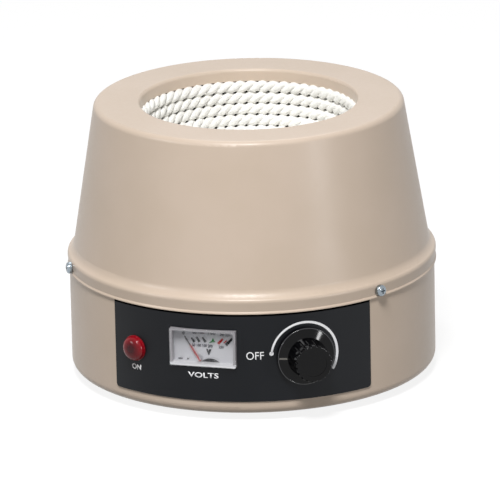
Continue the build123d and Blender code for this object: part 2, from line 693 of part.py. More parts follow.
def knob_body():
    edge = KNOB_BACK + KNOB_SKIRT_EDGE
    grip_start = edge + KNOB_SKIRT_RISE
    outline = (
        (0, KNOB_BACK), (KNOB_SKIRT_RADIUS, KNOB_BACK), (KNOB_SKIRT_RADIUS, edge),
        (KNOB_GRIP_RADIUS, grip_start), (KNOB_FACE_RADIUS, KNOB_FRONT), (0, KNOB_FRONT),
    )
    knob = turned(*outline)
    knob = fillet(knob.edges().group_by(Axis.Z)[-1], KNOB_FACE_ROUND)
    lean = degrees(asin((KNOB_GRIP_RADIUS - KNOB_FACE_RADIUS) / (KNOB_FRONT - grip_start)))
    flute = Rot(0, -lean, 0) * disc(FLUTE_RADIUS, 0, KNOB_DEPTH)
    flute = Pos(KNOB_GRIP_RADIUS, 0, grip_start + FLUTE_RADIUS) * flute
    knob -= [Rot(0, 0, 360 * (n + 0.5) / FLUTE_COUNT) * flute for n in range(FLUTE_COUNT)]
    knob -= disc(KNOB_HOLLOW_RADIUS, KNOB_BACK - 1, BUSHING_END + CLEAR)
    knob -= disc(INSERT_RADIUS, BUSHING_END, SHAFT_FRONT)
    knob -= disc(CAP_RADIUS, KNOB_FRONT - CAP_THICKNESS, KNOB_FRONT + 1)
    knob -= set_screw_path(SET_SCREW_RADIUS, SHAFT_RADIUS, KNOB_SKIRT_RADIUS)
    return wall_frame(KNOB_AZIMUTH, KNOB_HEIGHT) * knob


def set_screw_path(radius, near, far):
    """A cylinder that points down from the knob's axis."""
    return Pos(0, 0, KNOB_BACK + SET_SCREW_RISE) * Rot(90, 0, 0) * disc(radius, near, far)


def knob_insert():
    insert = tube(INSERT_RADIUS, SHAFT_RADIUS, BUSHING_END + CLEAR, SHAFT_FRONT)
    insert -= set_screw_path(SET_SCREW_RADIUS, 0, INSERT_RADIUS + 1)
    return wall_frame(KNOB_AZIMUTH, KNOB_HEIGHT) * insert


def knob_set_screw():
    screw = set_screw_path(SET_SCREW_RADIUS, SHAFT_RADIUS, KNOB_FACE_RADIUS - SET_SCREW_SINK)
    screw -= disc(SHAFT_RADIUS, SHAFT_BACK, SHAFT_FRONT)
    return wall_frame(KNOB_AZIMUTH, KNOB_HEIGHT) * screw


def knob_cap():
    cap = disc(CAP_RADIUS, KNOB_FRONT - CAP_THICKNESS, KNOB_FRONT - CAP_SINK)
    return wall_frame(KNOB_AZIMUTH, KNOB_HEIGHT) * cap


# --- Pilot lamp ---------------------------------------------------------------------------------
LAMP_BACK = PANEL_RADIUS - LAMP_DEPTH


def cap_arc(radius, start, height):
    """Arc of a domed cap, from its rim at (radius, start) to its crown on the axis."""
    ball = (radius**2 + height**2) / (2 * height)
    half = asin(radius / ball) / 2
    middle = (ball * sin(half), start + height - ball + ball * cos(half))
    return ThreePointArc((radius, start), middle, (0, start + height))


def lamp_lens():
    flange_end = PANEL_RADIUS + LAMP_FLANGE_THICKNESS
    crown = flange_end + LAMP_DOME_HEIGHT
    inside = LAMP_BARREL_RADIUS - LAMP_BARREL_WALL
    outer = cap_arc(LAMP_DOME_RADIUS, flange_end, LAMP_DOME_HEIGHT)
    inner = cap_arc(inside, PANEL_RADIUS, crown - LAMP_LENS_WALL - PANEL_RADIUS)
    flange = Polyline(
        (inside, PANEL_RADIUS), (LAMP_FLANGE_RADIUS, PANEL_RADIUS),
        (LAMP_FLANGE_RADIUS, flange_end), (LAMP_DOME_RADIUS, flange_end),
    )
    crown_line = Line((0, crown), (0, crown - LAMP_LENS_WALL))
    section = make_face(flange + outer + crown_line + inner)
    return wall_frame(LAMP_AZIMUTH, LAMP_HEIGHT) * revolve(Plane.XZ * section, Axis.Z)


def lamp_body():
    inside = LAMP_BARREL_RADIUS - LAMP_BARREL_WALL
    body = disc(LAMP_BARREL_RADIUS, LAMP_BACK, PANEL_RADIUS)
    body -= disc(inside, LAMP_BACK + LAMP_FLOOR, PANEL_RADIUS + 1)
    tag = slab(LAMP_TAG_THICKNESS, LAMP_TAG_WIDTH, LAMP_BACK - LAMP_TAG_LENGTH, LAMP_BACK + EPS)
    for side in (-0.5, 0.5):
        body += Pos(side * LAMP_TAG_SPREAD, 0, 0) * tag
    return wall_frame(LAMP_AZIMUTH, LAMP_HEIGHT) * body


def lamp_nut():
    seat = seat_inside(LAMP_NUT_RADIUS)
    nut = tube(LAMP_NUT_RADIUS, LAMP_BARREL_RADIUS, seat - LAMP_NUT_HEIGHT, seat)
    return wall_frame(LAMP_AZIMUTH, LAMP_HEIGHT) * nut


def lamp_bulb():
    bulb = disc(BULB_RADIUS, LAMP_BACK + LAMP_FLOOR, PANEL_RADIUS + BULB_PROUD)
    bulb = fillet(bulb.edges().group_by(Axis.Z)[-1], BULB_RADIUS * 0.9)
    return wall_frame(LAMP_AZIMUTH, LAMP_HEIGHT) * bulb


# --- Voltmeter ----------------------------------------------------------------------------------
METER_FACE = PANEL_RADIUS + METER_PROUD
CASE_WIDTH = METER_WIDTH + 2 * ROOM + 2 * METER_CASE_WALL
CASE_TALL = METER_TALL + 2 * ROOM + 2 * METER_CASE_WALL
CASE_FRONT = seat_inside(CASE_WIDTH / 2)
DIAL_FACE = METER_FACE - METER_DIAL_SINK
DIAL_BACK = DIAL_FACE - METER_DIAL_SHEET
WINDOW_INNER_WIDTH = METER_WIDTH - 2 * METER_WINDOW_WALL
WINDOW_INNER_TALL = METER_TALL - 2 * METER_WINDOW_WALL
TRAY_BACK = CASE_FRONT - METER_TRAY_DEPTH
BARREL_BACK = TRAY_BACK - METER_BARREL_DEPTH
MAGNET_BACK = BARREL_BACK + METER_CASE_WALL + MAGNET_GAP
MAGNET_FRONT = MAGNET_BACK + MAGNET_DEPTH
COIL_BACK = MAGNET_BACK - COIL_GAP - COIL_WIRE
COIL_FRONT = MAGNET_FRONT + COIL_GAP + COIL_WIRE
COIL_HALF = (MAGNET_RADIUS + CORE_RADIUS) / 2 + COIL_WIRE / 2
NEEDLE_BACK = DIAL_FACE + NEEDLE_LIFT


def meter_frame():
    return wall_frame(METER_AZIMUTH, METER_HEIGHT)


def at_pivot(shape):
    return Pos(PIVOT_OFFSET_X, -PIVOT_DROP, 0) * shape


def meter_case():
    tray_floor = TRAY_BACK + METER_CASE_WALL
    barrel_bore = METER_BARREL_RADIUS - METER_CASE_WALL
    case = slab(CASE_WIDTH, CASE_TALL, TRAY_BACK, CASE_FRONT)
    case += at_pivot(disc(METER_BARREL_RADIUS, BARREL_BACK, TRAY_BACK + EPS))
    case -= slab(METER_WIDTH, METER_TALL, DIAL_BACK, CASE_FRONT + 1)
    opening = (WINDOW_INNER_WIDTH - 2 * DIAL_LEDGE, WINDOW_INNER_TALL - 2 * DIAL_LEDGE)
    case -= slab(*opening, tray_floor, DIAL_BACK + 1)
    case -= at_pivot(disc(barrel_bore, BARREL_BACK + METER_CASE_WALL, TRAY_BACK))
    case -= at_pivot(disc(MAGNET_RADIUS, TRAY_BACK - 1, tray_floor + 1))
    case -= at_pivot(disc(DIAL_HOLE_RADIUS, tray_floor - 1, DIAL_BACK + 1))
    case -= at_pivot(disc(PIVOT_RADIUS + RUNNING, BARREL_BACK + METER_CASE_WALL / 2, TRAY_BACK))
    return meter_frame() * case


def meter_window():
    window = slab(METER_WIDTH, METER_TALL, DIAL_BACK, METER_FACE)
    window = fillet(window.edges().filter_by(Axis.Z), METER_WINDOW_ROUND)
    window -= slab(WINDOW_INNER_WIDTH, WINDOW_INNER_TALL, DIAL_BACK - 1, METER_FACE - METER_WINDOW_WALL)
    return meter_frame() * window


def meter_dial():
    dial = slab(WINDOW_INNER_WIDTH, WINDOW_INNER_TALL, DIAL_BACK, DIAL_FACE)
    dial -= at_pivot(disc(DIAL_HOLE_RADIUS, DIAL_BACK - 1, DIAL_FACE + 1))
    return meter_frame() * dial


def meter_bearing():
    """Front bearing of the movement, pressed into the dial plate."""
    bush = tube(DIAL_HOLE_RADIUS, PIVOT_RADIUS + RUNNING, DIAL_BACK, DIAL_FACE + BEARING_PROUD)
    return meter_frame() * at_pivot(bush)


def meter_magnet():
    outer = METER_BARREL_RADIUS - METER_CASE_WALL
    return meter_frame() * at_pivot(tube(outer, MAGNET_RADIUS, MAGNET_BACK, MAGNET_FRONT))


def coil_turn():
    """Angle of the coil's plane about the pivot, halfway through its swing."""
    return 90 + NEEDLE_REST_ANGLE - NEEDLE_SWING / 2


def meter_core():
    core = disc(CORE_RADIUS, MAGNET_BACK, MAGNET_FRONT)
    middle = (MAGNET_BACK + MAGNET_FRONT) / 2
    web = Rot(0, 0, coil_turn() + 90) * Box(2 * MAGNET_RADIUS, CORE_WEB, MAGNET_DEPTH / 2)
    web = Pos(0, 0, middle) * web
    web &= disc(MAGNET_RADIUS, MAGNET_BACK, MAGNET_FRONT)
    return meter_frame() * at_pivot(core + web)


def needle_turn(shape):
    """Turned to the needle's rest direction, from along local x."""
    return Rot(0, 0, 90 + NEEDLE_REST_ANGLE) * shape


def meter_coil():
    middle = (COIL_BACK + COIL_FRONT) / 2
    outer = Box(2 * COIL_HALF, COIL_WIDTH, COIL_FRONT - COIL_BACK)
    window_depth = COIL_FRONT - COIL_BACK - 2 * COIL_WIRE
    inner = Box(2 * (COIL_HALF - COIL_WIRE), 2 * COIL_WIDTH, window_depth)
    coil = Pos(0, 0, middle) * (outer - inner)
    return meter_frame() * at_pivot(needle_turn(coil))


def meter_pivots():
    rear = disc(PIVOT_RADIUS, BARREL_BACK + METER_CASE_WALL / 2 + CLEAR, COIL_BACK)
    front = disc(PIVOT_RADIUS, COIL_FRONT, NEEDLE_BACK)
    return meter_frame() * at_pivot(group([rear, front]))


def meter_needle():
    start, end = NEEDLE_BACK, NEEDLE_BACK + NEEDLE_THICKNESS
    half = NEEDLE_WIDTH / 2
    blade = make_face(Polyline(
        (-NEEDLE_TAIL, -half), (0, -half), (NEEDLE_LENGTH, -half / 3),
        (NEEDLE_LENGTH, half / 3), (0, half), (-NEEDLE_TAIL, half), close=True,
    ))
    needle = Pos(0, 0, start) * extrude(blade, end - start)
    needle += disc(NEEDLE_HUB_RADIUS, start, end + NEEDLE_HUB_PROUD)
    return meter_frame() * at_pivot(needle_turn(needle))


# --- Rear fittings ------------------------------------------------------------------------------
FUSE_BACK = PAN_RADIUS - FUSE_BODY_DEPTH
FUSE_FLANGE_END = PAN_RADIUS + FUSE_FLANGE_THICKNESS
FUSE_CAP_END = FUSE_FLANGE_END + FUSE_CAP_HEIGHT
FUSE_BORE = FUSE_BODY_RADIUS - FUSE_BODY_WALL
SPIGOT_RADIUS = FUSE_BORE - CLEAR
FUSE_CAP_START = FUSE_FLANGE_END + CLEAR
FUSE_LINK_END = FUSE_CAP_START - FUSE_LINK_SEAT


def fuse_holder_body():
    body = disc(FUSE_BODY_RADIUS, FUSE_BACK, FUSE_FLANGE_END)
    body += disc(FUSE_FLANGE_RADIUS, PAN_RADIUS, FUSE_FLANGE_END)
    body -= disc(FUSE_BORE, FUSE_BACK + FUSE_BODY_WALL, FUSE_FLANGE_END + 1)
    body += slab(FUSE_TAG_THICKNESS, FUSE_TAG_WIDTH, FUSE_BACK - 2 * FUSE_TAG_LENGTH, FUSE_BACK + EPS)
    side_tag = Box(FUSE_TAG_WIDTH, 2 * FUSE_TAG_LENGTH, FUSE_TAG_THICKNESS)
    side_tag = Pos(0, -FUSE_BODY_RADIUS, FUSE_BACK + FUSE_SIDE_TAG_INSET) * side_tag
    body += side_tag - disc(FUSE_BORE, FUSE_BACK, FUSE_FLANGE_END)
    return wall_frame(FUSE_AZIMUTH, FUSE_HEIGHT) * body


def fuse_nut():
    seat = seat_inside(FUSE_NUT_RADIUS)
    nut = tube(FUSE_NUT_RADIUS, FUSE_BODY_RADIUS, seat - FUSE_NUT_HEIGHT, seat)
    return wall_frame(FUSE_AZIMUTH, FUSE_HEIGHT) * nut


def fuse_cap():
    cap = disc(FUSE_CAP_RADIUS, FUSE_CAP_START, FUSE_CAP_END)
    cap = fillet(cap.edges().group_by(Axis.Z)[-1], FUSE_CAP_ROUND)
    groove = disc(FUSE_GRIP_RADIUS, FUSE_CAP_START + FUSE_GRIP_START, FUSE_CAP_END + 1)
    groove = Pos(FUSE_CAP_RADIUS + FUSE_GRIP_OFFSET, 0, 0) * groove
    cap -= [Rot(0, 0, 360 * n / FUSE_GRIP_COUNT) * groove for n in range(FUSE_GRIP_COUNT)]
    coin_slot = Box(FUSE_COIN_SLOT_LENGTH, FUSE_COIN_SLOT, 2 * FUSE_COIN_SLOT_DEPTH)
    cap -= Pos(0, 0, FUSE_CAP_END) * coin_slot
    cap += disc(SPIGOT_RADIUS, FUSE_CAP_START - FUSE_SPIGOT_DEPTH, FUSE_CAP_START)
    cap -= disc(FUSE_LINK_RADIUS, FUSE_CAP_START - FUSE_SPIGOT_DEPTH - 1, FUSE_LINK_END)
    return wall_frame(FUSE_AZIMUTH, FUSE_HEIGHT) * cap


def fuse_link():
    link = disc(FUSE_LINK_RADIUS, FUSE_LINK_END - FUSE_LINK_LENGTH, FUSE_LINK_END)
    return wall_frame(FUSE_AZIMUTH, FUSE_HEIGHT) * link


GROMMET_INNER_SEAT = seat_inside(GROMMET_FLANGE_RADIUS)
GROMMET_INNER_END = GROMMET_INNER_SEAT - GROMMET_FLANGE
GROMMET_OUTER_END = PAN_RADIUS + GROMMET_FLANGE


def cable_grommet():
    face = GROMMET_FLANGE_RADIUS - GROMMET_CHAMFER
    grommet = turned(
        (INLET_BORE_RADIUS, GROMMET_INNER_END), (face, GROMMET_INNER_END),
        (GROMMET_FLANGE_RADIUS, GROMMET_INNER_END + GROMMET_CHAMFER),
        (GROMMET_FLANGE_RADIUS, GROMMET_INNER_SEAT),
        (GROMMET_NECK_RADIUS, GROMMET_INNER_SEAT), (GROMMET_NECK_RADIUS, PAN_RADIUS),
        (GROMMET_FLANGE_RADIUS, PAN_RADIUS), (GROMMET_FLANGE_RADIUS, GROMMET_OUTER_END - GROMMET_CHAMFER),
        (face, GROMMET_OUTER_END), (INLET_BORE_RADIUS, GROMMET_OUTER_END),
    )
    return wall_frame(INLET_AZIMUTH, INLET_HEIGHT) * grommet


def earth_spot():
    return floor_spots(1, EARTH_CIRCLE, EARTH_AZIMUTH)[0]


def earth_stud():
    return earth_spot() * disc(EARTH_RADIUS, PAN_BOTTOM, FLOOR + EARTH_HEIGHT)


def earth_nuts():
    pieces = []
    for start in (FLOOR, FLOOR + EARTH_NUT_HEIGHT + EARTH_TAG_ROOM):
        end = start + EARTH_NUT_HEIGHT
        nut = hexagon(EARTH_NUT_ACROSS, start, end) - disc(EARTH_RADIUS, start - 1, end + 1)
        pieces.append(earth_spot() * nut)
    return group(pieces)


# --- Power board --------------------------------------------------------------------------------
BOARD_BOTTOM = FLOOR + STANDOFF_HEIGHT
BOARD_TOP = BOARD_BOTTOM + BOARD_THICKNESS


def board_spots():
    x, y = BOARD_LENGTH / 2 - BOARD_HOLE_INSET, BOARD_WIDTH / 2 - BOARD_HOLE_INSET
    return [Pos(sx * x, sy * y, 0) for sx in (-1, 1) for sy in (-1, 1)]


def circuit_board():
    board = Pos(0, 0, BOARD_BOTTOM) * Box(BOARD_LENGTH, BOARD_WIDTH, BOARD_THICKNESS, align=UP)
    for spot in board_spots():
        board -= spot * disc(BOARD_HOLE_RADIUS, BOARD_BOTTOM - 1, BOARD_TOP + 1)
    return board


def board_standoffs():
    standoff = disc(STANDOFF_RADIUS, FLOOR, BOARD_BOTTOM)
    standoff -= disc(BOARD_HOLE_RADIUS, FLOOR + STANDOFF_FLOOR, BOARD_BOTTOM + 1)
    return group(spot * standoff for spot in board_spots())


def board_screws():
    length = BOARD_THICKNESS + STANDOFF_HEIGHT - STANDOFF_FLOOR - 1
    screw = pan_head_screw(BOARD_HOLE_RADIUS, length, BOARD_SCREW_HEAD_RADIUS, BOARD_SCREW_HEAD_HEIGHT)
    return group(spot * Pos(0, 0, BOARD_TOP) * screw for spot in board_spots())


def sink_spot():
    """Place of the heat sink's web, on the board."""
    return Pos(SINK_EDGE_X - BOARD_LENGTH / 2, SINK_OFFSET_Y, BOARD_TOP)


def heat_sink():
    """Extruded aluminium sink with upright fins."""
    sink = Box(SINK_WIDTH, SINK_WEB, SINK_HEIGHT, align=UP)
    reach = SINK_DEPTH - SINK_WEB
    fin = Pos(0, (SINK_WEB + reach) / 2 - EPS, 0) * Box(SINK_FIN, reach, SINK_HEIGHT, align=UP)
    for n in range(SINK_FIN_COUNT):
        sink += Pos((SINK_WIDTH - SINK_FIN) * (n / (SINK_FIN_COUNT - 1) - 0.5), 0, 0) * fin
    return sink_spot() * sink


def triac():
    """Triac in its flat package, screwed to the front of the sink's web by its tab."""
    tab_place = (TRIAC_DEPTH - TRIAC_TAB_THICKNESS) / 2
    hole = Pos(0, 0, TRIAC_TAB_HEIGHT / 2) * Rot(90, 0, 0) * Cylinder(TRIAC_TAB_HOLE_RADIUS, TRIAC_DEPTH)
    tab = Box(TRIAC_WIDTH, TRIAC_TAB_THICKNESS, TRIAC_TAB_HEIGHT, align=UP) - hole
    part = Box(TRIAC_WIDTH, TRIAC_DEPTH, TRIAC_HEIGHT, align=UP) + Pos(0, tab_place, TRIAC_HEIGHT) * tab
    leg = slab(TRIAC_LEG_WIDTH, TRIAC_LEG_THICKNESS, -TRIAC_LIFT, EPS)
    for side in (-1, 0, 1):
        part += Pos(side * TRIAC_LEG_SPACING, 0, 0) * leg
    return sink_spot() * Pos(0, -(SINK_WEB + TRIAC_DEPTH) / 2, TRIAC_LIFT) * part


def capacitor():
    block = Box(CAPACITOR_WIDTH, CAPACITOR_DEPTH, CAPACITOR_HEIGHT, align=UP)
    block = fillet(block.edges().filter_by(Axis.Z), CAPACITOR_ROUND)
    return Pos(BOARD_LENGTH / 2 - CAPACITOR_EDGE_X, BOARD_WIDTH / 2 - CAPACITOR_EDGE_Y, BOARD_TOP) * block


def choke():
    ring = Torus(CHOKE_RADIUS, CHOKE_SECTION_RADIUS)
    return Pos(BOARD_LENGTH / 2 - CHOKE_EDGE_X, CHOKE_OFFSET_Y, BOARD_TOP + CHOKE_SECTION_RADIUS) * ring


def terminal_block():
    """Screw terminals, with a bore over each screw and a mouth for each wire."""
    block = Box(TERMINAL_WAYS * TERMINAL_PITCH, TERMINAL_DEPTH, TERMINAL_HEIGHT, align=UP)
    bore = disc(TERMINAL_BORE_RADIUS, TERMINAL_HEIGHT - TERMINAL_BORE_DEPTH, TERMINAL_HEIGHT + 1)
    mouth_top = TERMINAL_MOUTH_RISE + TERMINAL_MOUTH
    mouth = slab(TERMINAL_MOUTH, 2 * TERMINAL_MOUTH_DEPTH, TERMINAL_MOUTH_RISE, mouth_top)
    for n in range(TERMINAL_WAYS):
        way = Pos(TERMINAL_PITCH * (n - (TERMINAL_WAYS - 1) / 2), 0, 0)
        block -= way * bore
        block -= way * Pos(0, -TERMINAL_DEPTH / 2, 0) * mouth
    return Pos(TERMINAL_EDGE_X - BOARD_LENGTH / 2, TERMINAL_EDGE_Y - BOARD_WIDTH / 2, BOARD_TOP) * block


MAKERS = (
    base_pan, upper_cover, cover_screws, cover_nuts, control_panel,
    heating_bowl, heating_wire, insulation_bowl, insulation_cup,
    heat_shield, support_pillars, pillar_screws, shield_screws,
    rubber_feet, foot_screws, foot_nuts,
    potentiometer_body, potentiometer_washer, potentiometer_nut, potentiometer_shaft, potentiometer_wiper,
    knob_body, knob_insert, knob_set_screw, knob_cap,
    lamp_lens, lamp_body, lamp_nut, lamp_bulb,
    meter_case, meter_window, meter_dial, meter_bearing, meter_magnet, meter_core,
    meter_coil, meter_pivots, meter_needle,
    fuse_holder_body, fuse_nut, fuse_cap, fuse_link, cable_grommet, earth_stud, earth_nuts,
    circuit_board, board_standoffs, board_screws, heat_sink, triac, capacitor, choke, terminal_block,
)


def main():
    os.makedirs("parts", exist_ok=True)
    for maker in MAKERS:
        export_step(maker(), f"parts/{maker.__name__}.step")


main()
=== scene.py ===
"""A laboratory heating mantle with a meter and a knob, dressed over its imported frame.

Sizes are in millimetres and angles in degrees, as on a maker's drawing, and become metres in the
meshes. Z is up along the mantle's axis and z = 0 is the bench. An azimuth is counted from -Y
towards +X. In a wall fitting's own frame x runs round the wall to the right, y is up and z is the
distance from the mantle's axis.
"""

import json
import logging
from dataclasses import dataclass, field
from enum import Enum
from math import ceil, cos, hypot, pi, radians, sin
from typing import Callable, Iterable, Sequence

import bmesh
import bpy
from mathutils import Matrix, Vector

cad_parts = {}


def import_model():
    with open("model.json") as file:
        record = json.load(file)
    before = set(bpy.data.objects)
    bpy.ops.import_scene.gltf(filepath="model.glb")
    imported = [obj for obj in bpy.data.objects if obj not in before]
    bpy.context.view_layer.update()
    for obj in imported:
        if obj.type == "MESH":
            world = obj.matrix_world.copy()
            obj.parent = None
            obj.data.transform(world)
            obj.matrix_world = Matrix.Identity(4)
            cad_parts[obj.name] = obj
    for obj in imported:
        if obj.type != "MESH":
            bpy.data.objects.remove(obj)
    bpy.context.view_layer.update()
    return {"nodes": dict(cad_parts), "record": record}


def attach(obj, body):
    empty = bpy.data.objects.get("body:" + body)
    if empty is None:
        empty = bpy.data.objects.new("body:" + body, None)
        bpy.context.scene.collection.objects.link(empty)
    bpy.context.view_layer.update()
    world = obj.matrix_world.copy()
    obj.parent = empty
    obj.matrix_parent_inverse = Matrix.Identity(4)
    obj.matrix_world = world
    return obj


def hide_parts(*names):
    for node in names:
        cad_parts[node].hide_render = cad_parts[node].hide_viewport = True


log = logging.getLogger("mantle")
MM = 0.001
KNOB_AT = (20.4, 35.3)  # azimuth and height of a fitting's axis
LAMP_AT = (-34.8, 35.2)
METER_AT = (-11.2, 40.4)
PIVOT_AT = (-2.8, -6.8, 95.35)  # the pointer's pivot, in the meter's own frame
POINTER_LEAN = 32.5  # of the resting pointer, from upright to the left
Point = tuple[float, float]
Spot = tuple[float, float, float]
Tree, Socket, Piece = bpy.types.NodeTree, bpy.types.NodeSocket, bpy.types.Object


# --- Small tools ---
def linear(colour: str) -> tuple[float, float, float, float]:
    """Turn an sRGB colour into the linear values that the shaders take.

    Args:
        colour: The colour as "#RRGGBB".

    Returns:
        Red, green, blue and alpha.
    """
    parts = []
    for start in (1, 3, 5):
        value = int(colour[start:start + 2], 16) / 255
        parts.append(value / 12.92 if value <= 0.04045 else ((value + 0.055) / 1.055) ** 2.4)
    return (parts[0], parts[1], parts[2], 1.0)


def add(tree: Tree, kind: str, links: dict | None = None, **settings: object) -> bpy.types.Node:
    """Add a node with its settings and its inputs.

    Args:
        tree: The tree that the node goes into.
        kind: The node's type.
        links: An output socket or a plain value for each input, by name or number.
        settings: Values for the node's own properties.

    Returns:
        The node.
    """
    node = tree.nodes.new(kind)
    for key, value in settings.items():
        setattr(node, key, value)
    for key, value in (links or {}).items():
        if isinstance(value, Socket):
            tree.links.new(value, node.inputs[key])
        else:
            node.inputs[key].default_value = value
    return node


def work_out(
    tree: Tree,
    kind: str,
    known: dict[str, object],
    steps: Iterable[tuple[str, str, object, object]],
) -> dict[str, object]:
    """Lay out a formula as math nodes, one for each step.

    Args:
        tree: The tree that the nodes go into.
        kind: The math node's type.
        known: Output sockets by name.
        steps: For each step its result's name, its operation and its two inputs, which are names
            of earlier results or plain numbers.

    Returns:
        Every result by name, with what was known.
    """
    results = dict(known)
    for name, operation, first, second in steps:
        pair = {0: results.get(first, first), 1: results.get(second, second)}
        results[name] = add(tree, kind, pair, operation=operation).outputs[0]
    return results


def blend(tree: Tree, share: Socket, first: Socket | str, second: Socket | str) -> Socket:
    """Mix two colours.

    Args:
        tree: The tree that the node goes into.
        share: How much there is of the second colour.
        first: The first colour, as a socket or as "#RRGGBB".
        second: The second colour, in the same way.

    Returns:
        The mixed colour.
    """
    mix = add(tree, "ShaderNodeMix", {"Factor": share}, data_type="RGBA")
    for socket, colour in ((mix.inputs[6], first), (mix.inputs[7], second)):
        if isinstance(colour, str):
            socket.default_value = linear(colour)
        else:
            tree.links.new(colour, socket)
    return mix.outputs[2]


def bearing(azimuth: float, elevation: float = 0.0) -> Vector:
    """Give the direction from the mantle out to an azimuth and an elevation."""
    turn, rise = radians(azimuth), radians(elevation)
    return Vector((sin(turn) * cos(rise), -cos(turn) * cos(rise), sin(rise)))


def wall_frame(azimuth: float, height: float) -> Matrix:
    """Give the frame of a wall fitting, in metres.

    Args:
        azimuth: Where the fitting is round the wall.
        height: Its height above the bench.

    Returns:
        The matrix from the fitting's millimetres to the scene.
    """
    across, up = bearing(azimuth + 90), Vector((0, 0, 1))
    matrix = Matrix((across, up, bearing(azimuth))).transposed().to_4x4()
    matrix.translation = (0, 0, height * MM)
    return matrix @ Matrix.Scale(MM, 4)


def put(name: str, data: bpy.types.ID) -> Piece:
    """Make an object of a mesh, a camera or a light and link it into the scene."""
    bpy.context.scene.collection.objects.link(thing := bpy.data.objects.new(name, data))
    return thing


def new_piece(
    name: str,
    points: Sequence[Sequence[float]],
    faces: Sequence[Sequence[int]],
    matrix: Matrix,
    smooth_below: float = 35.0,
) -> Piece:
    """Make a mesh piece that points outwards, smooth but for its real corners.

    Args:
        name: The piece's name.
        points: Its points.
        faces: Its faces, as indices of points.
        matrix: From the points' frame to the scene.
        smooth_below: Edges that turn by less than this are shaded smooth.

    Returns:
        The piece's object, at the origin.
    """
    mesh = bpy.data.meshes.new(name)
    mesh.from_pydata([tuple(point) for point in points], [], [tuple(face) for face in faces])
    mesh.transform(matrix)
    build = bmesh.new()
    build.from_mesh(mesh)
    bmesh.ops.recalc_face_normals(build, faces=build.faces)
    build.to_mesh(mesh)
    build.free()
    mesh.polygons.foreach_set("use_smooth", [True] * len(mesh.polygons))
    mesh.set_sharp_from_angle(angle=radians(smooth_below))
    return put(name, mesh)


def loft(
    name: str,
    loops: Sequence[Sequence[Sequence[float]]],
    matrix: Matrix,
    closed: bool = False,
) -> Piece:
    """Skin a row of loops that have as many points each.

    Args:
        name: The piece's name.
        loops: The loops, each a ring of points.
        matrix: From the points' frame to the scene.
        closed: Whether the last loop joins the first. If not, both ends are capped.

    Returns:
        The piece's object.
    """
    count = len(loops[0])
    points = [point for loop in loops for point in loop]
    faces: list[list[int]] = []
    for row in range(len(loops) if closed else len(loops) - 1):
        here, there = row * count, (row + 1) % len(loops) * count
        for n in range(count):
            m = (n + 1) % count
            faces.append([here + n, here + m, there + m, there + n])
    if not closed:
        last = (len(loops) - 1) * count
        faces.append(list(range(count))[::-1])
        faces.append([last + n for n in range(count)])
    return new_piece(name, points, faces, matrix)


def ring(radius: float, height: float, steps: int) -> list[tuple[float, float, float]]:
    """Give a circle of points about z, at one height."""
    turns = [2 * pi * n / steps for n in range(steps)]
    return [(radius * cos(turn), radius * sin(turn), height) for turn in turns]


def rounded(width: float, tall: float, corner: float, height: float) -> list[tuple]:
    """Give a rectangle with rounded corners as a loop of points.

    Args:
        width: Its size along x.
        tall: Its size along y.
        corner: The radius of its corners.
        height: Its z.

    Returns:
        The points, anticlockwise.
    """
    steps = 6
    loop = []
    for quarter, (side, end) in enumerate(((1, 1), (-1, 1), (-1, -1), (1, -1))):
        for n in range(steps + 1):
            turn = pi / 2 * (quarter + n / steps)
            x = side * (width / 2 - corner) + corner * cos(turn)
            y = end * (tall / 2 - corner) + corner * sin(turn)
            loop.append((x, y, height))
    return loop


def arc(centre: Point, radius: float, start: float, end: float, steps: int) -> list[Point]:
    """Give points along an arc.

    Args:
        centre: The arc's centre.
        radius: Its radius.
        start: The angle that it starts at.
        end: The angle that it ends at.
        steps: The number of runs along it.

    Returns:
        The points, both ends among them.
    """
    points = []
    for n in range(steps + 1):
        turn = radians(start + (end - start) * n / steps)
        points.append((centre[0] + radius * cos(turn), centre[1] + radius * sin(turn)))
    return points


def grow(name: str, tree: Tree, sizes: dict[str, object]) -> Piece:
    """Run a geometry tree and keep what it makes as a plain mesh.

    Args:
        name: The piece's name.
        tree: The geometry tree.
        sizes: A value for each named input of the tree.

    Returns:
        The piece's object, with no modifier on it.
    """
    seed = put(name + "_seed", bpy.data.meshes.new(name + "_seed"))
    modifier = seed.modifiers.new("grow", "NODES")
    modifier.node_group = tree
    for item in tree.interface.items_tree:
        if item.item_type == "SOCKET" and item.in_out == "INPUT" and item.name in sizes:
            modifier[item.identifier] = sizes[item.name]
    graph = bpy.context.evaluated_depsgraph_get()
    mesh = bpy.data.meshes.new_from_object(seed.evaluated_get(graph))
    mesh.name = name
    seed.modifiers.remove(modifier)
    bpy.data.objects.remove(seed)
    return put(name, mesh)


# --- Finishes ---
class Grain(Enum):
    """How a surface was made, as the stretch, detail and distortion of its fine pattern."""

    PEEL = ((1, 1, 1), 1.0, 0.0)  # sprayed and baked: soft orange peel
    SPARK = ((1, 1, 1), 4.0, 0.0)  # moulded in a spark-eroded tool: fine even pits
    DRAWN = ((1, 1, 0.04), 3.0, 0.0)  # rolled, drawn or brushed along z
    FELT = ((1, 1, 0.5), 6.0, 1.4)  # felted or tangled fibre
    YARN = ((1, 1, 0.09), 2.0, 0.3)  # fibres that lie along a strand


